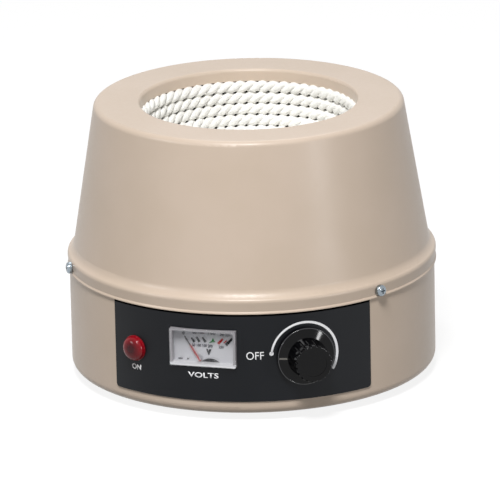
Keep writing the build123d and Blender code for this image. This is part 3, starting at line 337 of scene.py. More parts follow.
@dataclass(frozen=True)
class Finish:
    """A finish as its maker would order it."""

    name: str
    slot: str
    colour: str
    drift: str  # the colour that it drifts towards in soft clouds
    roughness: float
    grain: Grain = Grain.PEEL
    grain_mm: float = 1.0  # size of one cell of the grain
    depth_mm: float = 0.01  # depth of the grain
    cloud_mm: float = 18.0  # size of the soft clouds
    rough_spread: float = 0.08  # how far roughness wanders either way
    sockets: tuple[tuple[str, float], ...] = ()

    def place(self, tree: Tree) -> Socket:
        """Give the coordinates that the patterns follow.

        Args:
            tree: The material's tree.

        Returns:
            A vector in metres: along the strand for yarn, and otherwise the object's own.
        """
        if self.grain is not Grain.YARN:
            return add(tree, "ShaderNodeTexCoord").outputs["Object"]
        side = add(tree, "ShaderNodeAttribute", attribute_name="yarn_side").outputs["Vector"]
        run = add(tree, "ShaderNodeAttribute", attribute_name="yarn_run").outputs["Fac"]
        split = add(tree, "ShaderNodeSeparateXYZ", {0: side})
        parts = {0: split.outputs[0], 1: split.outputs[1], 2: run}
        return add(tree, "ShaderNodeCombineXYZ", parts).outputs[0]

    def noise(self, tree: Tree, place: object, size_mm: float) -> Socket:
        """Give the grain's noise at one size.

        Args:
            tree: The material's tree.
            place: The coordinates.
            size_mm: The size of one cell.

        Returns:
            The noise, from 0 to 1.
        """
        stretch, detail, distortion = self.grain.value
        spread = add(tree, "ShaderNodeMapping", {"Vector": place, "Scale": stretch})
        scale = {"Scale": 1 / (size_mm * MM), "Detail": detail, "Distortion": distortion}
        return add(tree, "ShaderNodeTexNoise", {"Vector": spread.outputs[0], **scale}).outputs["Fac"]

    def tint(self, tree: Tree, place: object) -> Socket:
        """Give the colour, which wanders between its two ends in soft clouds.

        Args:
            tree: The material's tree.
            place: The coordinates.

        Returns:
            The colour.
        """
        cloud = add(
            tree, "ShaderNodeTexNoise",
            {"Vector": place, "Scale": 1 / (self.cloud_mm * MM), "Detail": 3.0},
        ).outputs["Fac"]
        ramp = add(tree, "ShaderNodeMapRange", {0: cloud, 1: 0.35, 2: 0.65})
        return blend(tree, ramp.outputs[0], self.colour, self.drift)

    def material(self) -> bpy.types.Material:
        """Make the material, or give the one made before.

        Returns:
            The material.
        """
        if self.name in bpy.data.materials:
            return bpy.data.materials[self.name]
        material = bpy.data.materials.new(self.name)
        material.use_nodes = True
        tree = material.node_tree
        shader = tree.nodes["Principled BSDF"]
        for socket, value in self.sockets:
            shader.inputs[socket].default_value = value
        place = self.place(tree)
        tree.links.new(self.tint(tree, place), shader.inputs["Base Color"])
        height = self.noise(tree, place, self.grain_mm)
        low, high = self.roughness - self.rough_spread, self.roughness + self.rough_spread
        rough = add(tree, "ShaderNodeMapRange", {0: height, 1: 0.3, 2: 0.7, 3: low, 4: high})
        tree.links.new(rough.outputs[0], shader.inputs["Roughness"])
        bump = add(tree, "ShaderNodeBump", {"Height": height, "Distance": self.depth_mm * MM})
        tree.links.new(bump.outputs["Normal"], shader.inputs["Normal"])
        return material


@dataclass(frozen=True)
class DippedFinish(Finish):
    """A finish that turns into another colour past some distance from a point."""

    dip: str = "#000000"                # the colour past it
    centre: Spot = (0.0, 0.0, 0.0)
    reach_mm: float = 10.0
    soft_mm: float = 0.6  # half the width of the change between the colours

    def tint(self, tree: Tree, place: object) -> Socket:
        """Give the colour, with the dipped end.

        Args:
            tree: The material's tree.
            place: The coordinates.

        Returns:
            The colour.
        """
        far = add(tree, "ShaderNodeVectorMath", {0: place, 1: self.centre}, operation="DISTANCE")
        near, end = (self.reach_mm - self.soft_mm) * MM, (self.reach_mm + self.soft_mm) * MM
        share = add(tree, "ShaderNodeMapRange", {0: far.outputs["Value"], 1: near, 2: end})
        return blend(tree, share.outputs[0], super().tint(tree, place), self.dip)


@dataclass(frozen=True)
class PointerFinish(DippedFinish):
    """A dipped finish on a pointer's arm alone, with its hub in another colour."""

    across: Spot = (1.0, 0.0, 0.0)  # the direction across the arm
    half_width_mm: float = 0.45
    hub: str = "#C4C4C8"

    def tint(self, tree: Tree, place: object) -> Socket:
        """Give the colour, with the hub's beside the arm.

        Args:
            tree: The material's tree.
            place: The coordinates.

        Returns:
            The colour.
        """
        kind, maths = "ShaderNodeVectorMath", "ShaderNodeMath"
        from_hub = add(tree, kind, {0: place, 1: self.centre}, operation="SUBTRACT").outputs[0]
        off = add(tree, kind, {0: from_hub, 1: self.across}, operation="DOT_PRODUCT").outputs["Value"]
        width = add(tree, maths, {0: off}, operation="ABSOLUTE").outputs[0]
        limit = self.half_width_mm * MM
        beside = add(tree, maths, {0: width, 1: limit}, operation="GREATER_THAN").outputs[0]
        return blend(tree, beside, super().tint(tree, place), self.hub)


PEEL, SPARK, DRAWN, FELT, _ = Grain
METAL = (("Metallic", 1.0),)
# Stove enamel on pressed steel, sprayed and baked: warm beige, half gloss, a soft orange peel
ENAMEL = Finish(
    "beige_stove_enamel", "stove_enamel", "#CDBBAA", "#C9B7A5", 0.36, PEEL, 1.5, 0.010,
    cloud_mm=40.0, rough_spread=0.04, sockets=(("Specular IOR Level", 0.4),),
)
# Polyester film printed black from behind, with a fine satin emboss that spreads highlights
PANEL_FILM = Finish(
    "satin_black_film", "black_film", "#0F1115", "#111317", 0.42, SPARK, 0.25, 0.004,
    sockets=(("Specular IOR Level", 0.2),),
)
# Phenolic moulding: near black, polished by its tool, slightly duller where fingers hold it
PHENOLIC = Finish(
    "black_phenolic", "phenolic_black", "#040405", "#070709", 0.08, SPARK, 0.4, 0.001,
    rough_spread=0.02, sockets=(("Specular IOR Level", 0.18),),
)
# The same moulding on the rim of its skirt, painted a lighter grey as a highlight: it draws a thin grey
# line
RIM_PAINTED_HIGHLIGHT = Finish(
    "phenolic_rim_painted_highlight", "phenolic_black", "#2A2A2E", "#222226", 0.12, SPARK, 0.4, 0.001,
    rough_spread=0.03, sockets=(("Specular IOR Level", 0.6),),
)
# Bright nickel plate on steel screw heads, barrel polished: cool grey, mirror-like, finely handled
NICKEL = Finish(
    "bright_nickel_plate", "bright_nickel", "#9FA8AF", "#8A939A", 0.14, SPARK, 0.3, 0.003,
    sockets=METAL,
)
# Passivated zinc plate on commercial screws and pillars: bluish grey, cloudy half gloss
ZINC = Finish(
    "zinc_plate_clear", "zinc_plate", "#B4B8BC", "#A6A89E", 0.34, SPARK, 0.5, 0.005,
    cloud_mm=4.0, sockets=METAL,
)
# Texturised glass-fibre yarn, twisted and knitted: chalk white, matt, fine lengthwise fibres.
# A filament is finer than a pixel, so the fibres are drawn as bundles 0.25 mm wide.
YARN = Finish(
    "white_glass_yarn", "glass_fibre_yarn", "#F7F6F2", "#F1F0EB", 0.82, Grain.YARN, 0.25, 0.10,
    cloud_mm=1.6, sockets=(("Sheen Weight", 0.25), ("Sheen Roughness", 0.5)),
)
# The knitted back layer of the bowl, seen only through the gaps: painted dark grey for the shade deep in
# the gaps over the heating wires
YARN_BACK_PAINTED_SHADE = Finish(
    "shaded_glass_cloth", "glass_fibre_yarn", "#45423D", "#3A3733", 0.9, FELT, 0.8, 0.12,
    cloud_mm=3.0,
)
# The knot that closes the smallest course: a tuft of the same yarn, felted by its own fibres
YARN_KNOT = Finish(
    "glass_yarn_knot", "glass_fibre_yarn", "#EFEDE6", "#E2DFD6", 0.9, FELT, 0.5, 0.15, cloud_mm=1.5,
)
# Resistance wire in a braided glass sleeve: off-white, fibrous
SLEEVED_WIRE = Finish(
    "sleeved_heating_wire", "sleeved_wire", "#C9C2B2", "#B4AC9A", 0.8, FELT, 0.3, 0.03,
)
# Vacuum-formed ceramic fibre: chalky white, soft felted surface
CERAMIC_FIBRE = Finish(
    "vacuum_formed_fibre", "ceramic_fibre", "#E9E5DA", "#DAD4C6", 0.92, FELT, 0.9, 0.15,
)
# Hot-dip galvanised sheet, rolled: dull blue-grey with faint spangle and roll lines
GALVANISED = Finish(
    "galvanised_sheet_steel", "galvanised_sheet", "#AEB2B4", "#9A9EA0", 0.42, DRAWN, 0.4,
    0.004, cloud_mm=7.0, sockets=METAL,
)
# Mill-finish extruded aluminium: pale grey with drawn lines
ALUMINIUM = Finish(
    "mill_aluminium", "bare_aluminium", "#C4C5C6", "#B6B7B8", 0.36, DRAWN, 0.25, 0.005,
    sockets=METAL,
)
# Moulded nitrile rubber: soft black, matt, a little dusty
RUBBER = Finish(
    "moulded_rubber", "black_rubber", "#1B1B1C", "#262524", 0.72, SPARK, 0.4, 0.02,
)
# Free-turned brass: warm yellow, bright tool lines
BRASS = Finish(
    "turned_brass_bar", "turned_brass", "#C9A45A", "#B89050", 0.26, DRAWN, 0.3, 0.004,
    sockets=METAL,
)
# Tin plate on the meter's brass bearing and pivots: pale grey and satin
PLATED_BRASS = Finish(
    "tin_plated_brass", "turned_brass", "#B9B9BD", "#ADADB2", 0.45, DRAWN, 0.3, 0.004,
    sockets=METAL,
)
# Glass-filled nylon of the instrument bodies: plain black, matt from the tool
INSTRUMENT_BLACK = Finish(
    "glass_filled_nylon_black", "instrument_black", "#17181A", "#1E1F21", 0.5, SPARK, 0.35, 0.01,
)
# Stoved paint on the dial plate: flat, light grey behind its window
DIAL_WHITE = Finish(
    "dial_plate_paint", "dial_enamel", "#C4C4C8", "#BDBDC2", 0.55, SPARK, 0.3, 0.004,
    sockets=(("Specular IOR Level", 0.3),),
)
# Screen ink on the panel: bright white, a hair thick, dry
WHITE_INK = Finish(
    "white_screen_ink", "dial_enamel", "#FFFFFF", "#F4F4F8", 0.6, SPARK, 0.2, 0.005,
)
# A painted shadow: matt black ink along the panel's upper edge, for the shade under the skirt's edge
SEAM_SHADOW_INK = Finish(
    "painted_seam_shadow_ink", "black_film", "#020203", "#030304", 0.9, SPARK, 0.2, 0.005,
    sockets=(("Specular IOR Level", 0.0),),
)
# Silk-screen inks on the dial: dry, flat, hardly any shine
BLACK_INK, GREY_INK, GREEN_INK, RED_INK = (
    Finish(
        name + "_screen_ink", slot, colour, drift, 0.6, SPARK, 0.2, 0.003,
        sockets=(("Specular IOR Level", 0.1),),
    )
    for name, slot, colour, drift in (
        ("black", "instrument_black", "#040508", "#08090D"),
        ("grey", "instrument_black", "#33333C", "#3C3C46"),
        ("green", "dial_enamel", "#1F6B30", "#1B5C2B"),
        ("red", "needle_red", "#A81C1A", "#941A18"),
    )
)
# Grey filler rubbed into the knob's index line: dull, a little worn
INDEX_FILL = Finish("knob_index_filler", "dial_enamel", "#7F7C76", "#6E6B66", 0.6, SPARK, 0.3, 0.01)
# Cast magnet alloy: dark grey, granular
MAGNET = Finish(
    "cast_magnet_alloy", "magnet_iron", "#5E5C5A", "#4A4846", 0.55, SPARK, 0.5, 0.02, sockets=METAL,
)
# Enamelled copper winding wire: orange-brown varnish gloss
COPPER = Finish(
    "enamelled_copper", "coil_copper", "#B5683C", "#9C5430", 0.3, DRAWN, 0.2, 0.01, sockets=METAL,
)
# Lacquered aluminium pointer: red, dipped in black where it sweeps the scale, its hub left pale
NEEDLE_LACQUER = PointerFinish(
    "red_pointer_lacquer", "needle_red", "#A8140F", "#98120E", 0.4, PEEL, 0.3, 0.002,
    dip="#160A0E", centre=tuple(wall_frame(*METER_AT) @ Vector(PIVOT_AT)), reach_mm=8.6,
    across=tuple(bearing(METER_AT[0] + 90, POINTER_LEAN)),
)
# Glass-epoxy laminate with green solder mask
LAMINATE = Finish(
    "solder_mask_laminate", "board_laminate", "#1F5A3A", "#1A4E33", 0.35, SPARK, 0.6, 0.008,
)
# Moulded natural nylon: milky white
NYLON = Finish("natural_nylon", "white_nylon", "#E2DFD6", "#D6D2C8", 0.45, SPARK, 0.4, 0.008)
# Clear injection-moulded acrylic: glossy, see-through
ACRYLIC = Finish(
    "clear_acrylic_moulding", "clear_acrylic", "#F4F6F6", "#EFF2F2", 0.04, PEEL, 2.0, 0.0005,
    rough_spread=0.01, sockets=(("Transmission Weight", 1.0), ("IOR", 1.49), ("Alpha", 0.15)),
)
# The same acrylic, etched by its tool on the side walls: milky grey on the walls, and painted white on
# the sill for the light that falls on it from above. Seen from HIGH over it, the sill is what lies below
# 31.8 mm.
HIGH = 1000.0
FROSTED_PAINTED_LIGHT = DippedFinish(
    "etched_acrylic_walls_painted_light", "clear_acrylic", "#A9A6AA", "#A19EA2", 0.4, SPARK, 0.3, 0.01,
    sockets=(("Transmission Weight", 0.15), ("IOR", 1.49)),
    dip="#EDEDF0", centre=tuple(wall_frame(METER_AT[0], HIGH) @ Vector((0, 0, 97))), reach_mm=HIGH - 31.8,
)
# Red moulded acrylic of the pilot lens: glossy, painted dark ruby in its core for the lamp's black body
# seen through it, and painted bright red round it for the light that gathers in the ribs
RUBY_LENS_PAINTED_LIGHT = DippedFinish(
    "ruby_lens_painted_light", "red_lens", "#540312", "#46030E", 0.05, PEEL, 2.0, 0.001,
    rough_spread=0.01,
    sockets=(("Transmission Weight", 0.3), ("IOR", 1.49), ("Specular IOR Level", 0.15)),
    dip="#A00419", centre=tuple(wall_frame(*LAMP_AT) @ Vector((0.9, 0.7, 102.4))), reach_mm=4.0,
    soft_mm=2.2,
)
# Thin blown glass of the lamp's bulb
BULB = Finish(
    "blown_bulb_glass", "bulb_glass", "#F2F4F4", "#ECEFEF", 0.03, PEEL, 2.0, 0.0005,
    rough_spread=0.01, sockets=(("Transmission Weight", 1.0), ("IOR", 1.5), ("Alpha", 0.4)),
)
PLATED = ("meter_bearing", "meter_pivots")
STOCK = {
    finish.slot: finish
    for finish in (
        ENAMEL, PANEL_FILM, PHENOLIC, NICKEL, ZINC, YARN_BACK_PAINTED_SHADE, SLEEVED_WIRE, CERAMIC_FIBRE,
        GALVANISED, ALUMINIUM, RUBBER, BRASS, INSTRUMENT_BLACK, DIAL_WHITE, MAGNET, COPPER,
        NEEDLE_LACQUER, LAMINATE, NYLON, ACRYLIC, RUBY_LENS_PAINTED_LIGHT, BULB,
    )
}


def fit(
    piece: Piece,
    finish: Finish,
    body: str = "housing",
    replaces: Sequence[str] = (),
) -> Piece:
    """Give a finished piece its material and its body, and hide the solids that it stands for.

    Args:
        piece: The piece's object.
        finish: Its finish.
        body: The moving body that it rides on.
        replaces: The solids that it stands for.

    Returns:
        The piece.
    """
    piece.data.materials.clear()
    piece.data.materials.append(finish.material())
    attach(piece, body)
    if replaces:
        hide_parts(*replaces)
    log.info("%s: %d faces, %s, on %s", piece.name, len(piece.data.polygons), finish.name, body)
    return piece


# --- Camera and studio ---
@dataclass
class Viewpoint:
    """Where the camera stands and how it frames the mantle."""

    distance: float = 3532.2
    elevation: float = 17.276
    azimuth: float = 4.6
    roll: float = -1.245
    aim_height: float = 63.86
    lens: float = 477.7
    shift: float = -0.00351

    def build(self) -> None:
        """Make the camera and use it."""
        roll = radians(self.roll)
        back, right = bearing(self.azimuth, self.elevation), bearing(self.azimuth + 90)
        up = right.cross(-back)
        across = cos(roll) * right + sin(roll) * up
        upright = -sin(roll) * right + cos(roll) * up
        data = bpy.data.cameras.new("camera")
        data.lens = self.lens
        data.sensor_width = 36.0
        data.shift_x = self.shift
        data.clip_start = 0.1
        data.clip_end = 20.0
        camera = put("camera", data)
        camera.matrix_world = Matrix((across, upright, back)).transposed().to_4x4()
        camera.matrix_world.translation = back * self.distance * MM + Vector((0, 0, self.aim_height * MM))
        bpy.context.scene.camera = camera
        log.info("camera: %.1f mm lens at %.2f m", self.lens, self.distance * MM)


@dataclass
class Softbox:
    """A square soft light that points at the mantle."""

    name: str
    azimuth: float
    elevation: float
    size: float
    power: float
    distance: float = 2000.0
    aim_height: float = 80.0

    def build(self) -> None:
        """Hang the light."""
        data = bpy.data.lights.new(self.name, "AREA")
        data.shape = "SQUARE"
        data.size = self.size * MM
        data.energy = self.power
        lamp = put(self.name, data)
        back = bearing(self.azimuth, self.elevation)
        lamp.matrix_world = back.to_track_quat("Z", "Y").to_matrix().to_4x4()
        lamp.matrix_world.translation = (back * self.distance + Vector((0, 0, self.aim_height))) * MM
        log.info("%s: %.0f W, %.1f m across", self.name, self.power, self.size * MM)


@dataclass
class Studio:
    """A white sweep under soft light."""

    floor_radius: float = 2600.0
    floor_white: float = 0.20  # what the floor throws back
    floor_lift: float = 0.86  # added to it for the camera and in reflections
    world_strength: float = 0.05
    lights: tuple[Softbox, ...] = (
        Softbox("key_softbox", -2.0, 55.0, 480.0, 38.0),
        Softbox("left_softbox", -62.0, 26.0, 260.0, 7.5),
        Softbox("right_softbox", 53.0, 7.0, 230.0, 7.0),
        Softbox("back_softbox", 180.0, 55.0, 800.0, 7.0),
    )

    def seen(self, tree: Tree) -> Socket:
        """Tell the rays that show the background from the ones that light the object.

        Args:
            tree: The tree that asks.

        Returns:
            1 for camera, glossy and transmitted rays, and otherwise 0.
        """
        path = add(tree, "ShaderNodeLightPath").outputs
        known = {"camera": path["Is Camera Ray"], "gloss": path["Is Glossy Ray"],
                 "through": path["Is Transmission Ray"]}
        steps = (("first", "MAXIMUM", "camera", "gloss"), ("any", "MAXIMUM", "first", "through"))
        return work_out(tree, "ShaderNodeMath", known, steps)["any"]

    def build(self) -> None:
        """Make the world, the floor and the lights."""
        world = bpy.data.worlds.new("white_surround")
        world.use_nodes = True
        bpy.context.scene.world = world
        tree = world.node_tree
        level = add(tree, "ShaderNodeMapRange", {0: self.seen(tree), 3: self.world_strength, 4: 1.0})
        tree.links.new(level.outputs[0], tree.nodes["Background"].inputs["Strength"])
        tree.nodes["Background"].inputs["Color"].default_value = (1, 1, 1, 1)

        steps = 96
        points = ring(self.floor_radius, 0, steps)
        floor = new_piece("floor", points, [list(range(steps))], Matrix.Scale(MM, 4))
        if floor.data.polygons[0].normal.z < 0:
            floor.data.flip_normals()
        material = bpy.data.materials.new("white_sweep")
        material.use_nodes = True
        tree = material.node_tree
        tree.nodes.remove(tree.nodes["Principled BSDF"])
        white = (self.floor_white,) * 3 + (1.0,)
        diffuse = add(tree, "ShaderNodeBsdfDiffuse", {"Color": white})
        level = add(tree, "ShaderNodeMapRange", {0: self.seen(tree), 3: 0.0, 4: self.floor_lift})
        lift = add(tree, "ShaderNodeEmission", {"Strength": level.outputs[0]})
        both = add(tree, "ShaderNodeAddShader", {0: diffuse.outputs[0], 1: lift.outputs[0]})
        tree.links.new(both.outputs[0], tree.nodes["Material Output"].inputs["Surface"])
        floor.data.materials.append(material)
        for light in self.lights:
            light.build()


# --- Woven bowl ---
@dataclass
class WovenBowl:
    """The heating bowl: two-ply glass yarn laid in courses round a hemisphere."""

    courses: int = 15
    pitch: float = 6.05  # latitude from one course to the next
    radius: float = 57.35  # of the sphere that the courses' middles lie on
    centre: float = 138.1
    offset_up: float = 1.5  # of a ply from the middle of its course, along the wall
    offset_in: float = 0.9  # the same, towards the bowl's middle
    ply_radius: float = 1.98
    twists: int = -30  # of the two plies, once round the rim; left-handed
    points: int = 360  # along one ply
    sides: int = 7
    back_inside: float = 58.9
    back_outside: float = 60.4
    back_end: float = 88.5  # latitude where the cloth closes
    rim: float = 141.0  # where the cloth ends, under the collar
    knot_radius: float = 4.2  # of the tuft at the bottom
    knot_tall: float = 1.5
    knot_sink: float = 1.0  # of its middle, below the courses' sphere
    knot_swell: float = 0.12  # how far its lobes stand out, as a share
    knot_lobes: int = 5
    knot_slit: float = 0.01  # radius left open at its poles

    def tree(self, sizes: dict[str, object]) -> Tree:
        """Lay out the weave as a geometry tree.

        Args:
            sizes: A value for each named input, of the input's type.

        Returns:
            The tree.
        """
        tree = bpy.data.node_groups.new("two_ply_courses", "GeometryNodeTree")
        for name, value in sizes.items():
            kind = "NodeSocket" + type(value).__name__.capitalize()
            tree.interface.new_socket(name=name, in_out="INPUT", socket_type=kind)
        tree.interface.new_socket(name="Mesh", in_out="OUTPUT", socket_type="NodeSocketGeometry")
        given = add(tree, "NodeGroupInput").outputs
        plies = add(tree, "ShaderNodeMath", {0: given["Courses"], 1: 2.0}, operation="MULTIPLY")
        row = add(tree, "GeometryNodeMeshLine", {"Count": plies.outputs[0], "Offset": (0, 0, 0)})
        circle = add(tree, "GeometryNodeCurvePrimitiveCircle", {"Resolution": given["Points"]})
        stack = add(tree, "GeometryNodeInstanceOnPoints",
                    {"Points": row.outputs[0], "Instance": circle.outputs[0]})
        strands = add(tree, "GeometryNodeRealizeInstances", {0: stack.outputs[0]})
        known = {name: given[name] for name in sizes}
        known["index"] = add(tree, "GeometryNodeInputIndex").outputs[0]
        sums = work_out(tree, "ShaderNodeMath", known, (
            ("turn", "DIVIDE", "index", "Points"),
            ("strand", "FLOOR", "turn", 0.0),
            ("round", "MULTIPLY", "turn", 2 * pi),
            ("pairs", "MULTIPLY", "strand", 0.5),
            ("course", "FLOOR", "pairs", 0.0),
            ("latitude", "MULTIPLY", "course", "Pitch"),
            ("cos", "COSINE", "latitude", 0.0),
            ("sin", "SINE", "latitude", 0.0),
            # fewer twists in the small courses near the bottom, in steps of a third
            ("less", "POWER", "cos", 0.6),
            ("thirds", "MULTIPLY", "less", 3.0),
            ("whole", "ROUND", "thirds", 0.0),
            ("share", "DIVIDE", "whole", 3.0),
            ("turns", "MULTIPLY", "share", "Twists"),
            ("wound", "MULTIPLY", "turns", "round"),
            ("other", "MULTIPLY", "strand", pi),
            ("phase", "ADD", "wound", "other"),
            ("phase cos", "COSINE", "phase", 0.0),
            ("phase sin", "SINE", "phase", 0.0),
            ("in", "MULTIPLY", "phase cos", "Offset in"),
            ("along", "MULTIPLY", "phase sin", "Offset up"),
            # the ply's place in the meridian's plane: along the radius and along the wall
            ("reach", "SUBTRACT", "Sphere", "in"),
            ("reach out", "MULTIPLY", "reach", "cos"),
            ("along out", "MULTIPLY", "along", "sin"),
            ("rho", "ADD", "reach out", "along out"),
            ("reach down", "MULTIPLY", "reach", "sin"),
            ("along up", "MULTIPLY", "along", "cos"),
            ("below", "SUBTRACT", "reach down", "along up"),
            ("z", "SUBTRACT", "Centre", "below"),
            ("round cos", "COSINE", "round", 0.0),
            ("round sin", "SINE", "round", 0.0),
            ("x", "MULTIPLY", "rho", "round cos"),
            ("y", "MULTIPLY", "rho", "round sin"),
        ))
        spot = add(tree, "ShaderNodeCombineXYZ", {0: sums["x"], 1: sums["y"], 2: sums["z"]})
        laid = add(tree, "GeometryNodeSetPosition",
                   {"Geometry": strands.outputs[0], "Position": spot.outputs[0]})
        along = add(tree, "GeometryNodeSplineParameter").outputs["Length"]
        marked = add(tree, "GeometryNodeStoreNamedAttribute",
                     {"Geometry": laid.outputs[0], "Name": "yarn_run", "Value": along},
                     data_type="FLOAT", domain="POINT")
        section = add(tree, "GeometryNodeCurvePrimitiveCircle",
                      {"Resolution": given["Sides"], "Radius": given["Ply radius"]})
        side = add(tree, "GeometryNodeInputPosition").outputs[0]
        rim = add(tree, "GeometryNodeStoreNamedAttribute",
                  {"Geometry": section.outputs[0], "Name": "yarn_side", "Value": side},
                  data_type="FLOAT_VECTOR", domain="POINT")
        skin = add(tree, "GeometryNodeCurveToMesh",
                   {"Curve": marked.outputs[0], "Profile Curve": rim.outputs[0]})
        soft = add(tree, "GeometryNodeSetShadeSmooth", {"Geometry": skin.outputs[0]})
        plain = add(tree, "GeometryNodeRealizeInstances", {0: soft.outputs[0]})
        dressed = add(tree, "GeometryNodeSetMaterial",
                      {"Geometry": plain.outputs[0], "Material": given["Finish"]})
        add(tree, "NodeGroupOutput", {0: dressed.outputs[0]})
        return tree

    def weave(self) -> None:
        """Lay the courses."""
        sizes = {
            "Courses": self.courses, "Points": self.points, "Sides": self.sides,
            "Pitch": radians(self.pitch), "Sphere": self.radius * MM,
            "Centre": self.centre * MM, "Offset up": self.offset_up * MM,
            "Offset in": self.offset_in * MM, "Ply radius": self.ply_radius * MM,
            "Twists": float(self.twists), "Finish": YARN.material(),
        }
        weave = grow("heating_bowl_weave", self.tree(sizes), sizes)
        fit(weave, YARN, replaces=("heating_bowl",))

    def cloth(self) -> None:
        """Lay the cloth behind the courses."""
        steps, rows = 160, 40
        sides: dict[float, list] = {self.back_inside: [], self.back_outside: []}
        for row in range(rows + 1):
            turn = radians(self.back_end) * row / rows
            for radius, loops in sides.items():
                height = self.centre - radius * sin(turn)
                loops.append(ring(radius * cos(turn), height, steps))
        rim = [ring(radius, self.rim, steps) for radius in sides]
        loops = sides[self.back_inside][::-1] + rim + sides[self.back_outside]
        cloth = loft("heating_bowl_shade_cloth", loops, Matrix.Scale(MM, 4))
        # its dark grey is painted shade for the gaps between the courses
        fit(cloth, YARN_BACK_PAINTED_SHADE, replaces=("heating_bowl",))

    def knot(self) -> None:
        """Close the smallest course with a lobed tuft."""
        steps, rows = 48, 8
        middle = self.centre - self.radius - self.knot_sink
        loops = []
        for row in range(rows + 1):
            turn = pi * (row / rows - 0.5)
            radius, rise = self.knot_radius * cos(turn) + self.knot_slit, self.knot_tall * sin(turn)
            loop = []
            for n, (x, y, z) in enumerate(ring(radius, middle + rise, steps)):
                wave = sin(self.knot_lobes * 2 * pi * n / steps + row / 2)
                swell = 1 + self.knot_swell * wave
                loop.append((x * swell, y * swell, z))
            loops.append(loop)
        knot = loft("heating_bowl_knot", loops, Matrix.Scale(MM, 4))
        fit(knot, YARN_KNOT, replaces=("heating_bowl",))

    def build(self) -> None:
        """Make the bowl's three layers."""
        self.weave()
        self.cloth()
        self.knot()


# --- Printing ---
@dataclass
class Printing:
    """Flat shapes and words in one ink, laid on the panel or on a plate."""

    name: str
    finish: Finish
    thickness: float = 0.05
    shapes: list[list[Point]] = field(default_factory=list)
    words: list[tuple[str, Point, Point, float]] = field(default_factory=list)

    def disc(self, centre: Point, radius: float) -> None:
        """Add a round dot."""
        self.shapes.append(arc(centre, radius, 0, 360, 32)[:-1])

    def stroke(self, points: Sequence[Point], start: float, end: float | None = None) -> None:
        """Add a line along some points.

        Args:
            points: The line's points.
            start: Its width where it starts.
            end: Its width where it ends, if that differs.
        """
        last = len(points) - 1
        width = [start + ((start if end is None else end) - start) * n / last for n in range(last + 1)]
        sides: list[tuple[Point, Point]] = []
        for n, (x, y) in enumerate(points):
            (x0, y0), (x1, y1) = points[max(n - 1, 0)], points[min(n + 1, last)]
            length = hypot(x1 - x0, y1 - y0)
            dx, dy = -(y1 - y0) / length * width[n] / 2, (x1 - x0) / length * width[n] / 2
            sides.append(((x + dx, y + dy), (x - dx, y - dy)))
        for (a, b), (c, d) in zip(sides, sides[1:]):
            self.shapes.append([b, d, c, a])

    def word(self, text: str, middle: Point, size: Point, weight: float = 0.0) -> None:
        """Add a word that fills a box about its middle, in strokes made heavier by its weight."""
        self.words.append((text, middle, size, weight))

    def sheet(self, strip: float) -> bmesh.types.BMesh:
        """Draw everything flat.

        Args:
            strip: Width of the upright strips that it is cut into, so that it can bend.

        Returns:
            The flat mesh, in millimetres.
        """
        build = bmesh.new()
        for shape in self.shapes:
            build.faces.new([build.verts.new((x, y, 0)) for x, y in shape])
        for text, middle, size, weight in self.words:
            curve = bpy.data.curves.new("word", "FONT")
            curve.body = text
            curve.offset = weight
            curve.resolution_u = 4
            letters = bpy.data.objects.new("word", curve)
            mesh = bpy.data.meshes.new_from_object(letters)
            low = [min(v.co[i] for v in mesh.vertices) for i in (0, 1)]
            high = [max(v.co[i] for v in mesh.vertices) for i in (0, 1)]
            scale = [size[i] / (high[i] - low[i]) for i in (0, 1)]
            move = [middle[i] - scale[i] * (low[i] + high[i]) / 2 for i in (0, 1)]
            mesh.transform(Matrix.Translation((*move, 0)) @ Matrix.Diagonal((*scale, 1, 1)))
            build.from_mesh(mesh)
            bpy.data.objects.remove(letters)
            bpy.data.meshes.remove(mesh)
        bmesh.ops.remove_doubles(build, verts=build.verts, dist=1e-4)
        low = min(v.co.x for v in build.verts)
        high = max(v.co.x for v in build.verts)
        for n in range(1, ceil((high - low) / strip)):
            cut = {"plane_co": (low + n * strip, 0, 0), "plane_no": (1, 0, 0)}
            bmesh.ops.bisect_plane(build, geom=build.verts[:] + build.edges[:] + build.faces[:], **cut)
        return build

    def build(self, place: Callable[[float, float], Vector], strip: float = 1.5) -> None:
        """Lay the print on its carrier.

        Args:
            place: From the flat print's x and y, in millimetres, to the scene.
            strip: Width of the strips that it bends in.
        """
        build = self.sheet(strip)
        for vert in build.verts:
            vert.co = place(vert.co.x, vert.co.y)
        mesh = bpy.data.meshes.new(self.name)
        build.to_mesh(mesh)
        build.free()
        piece = put(self.name, mesh)
        solid = piece.modifiers.new("ink", "SOLIDIFY")
        solid.thickness = self.thickness * MM
        solid.offset = 1.0
        fit(piece, self.finish)


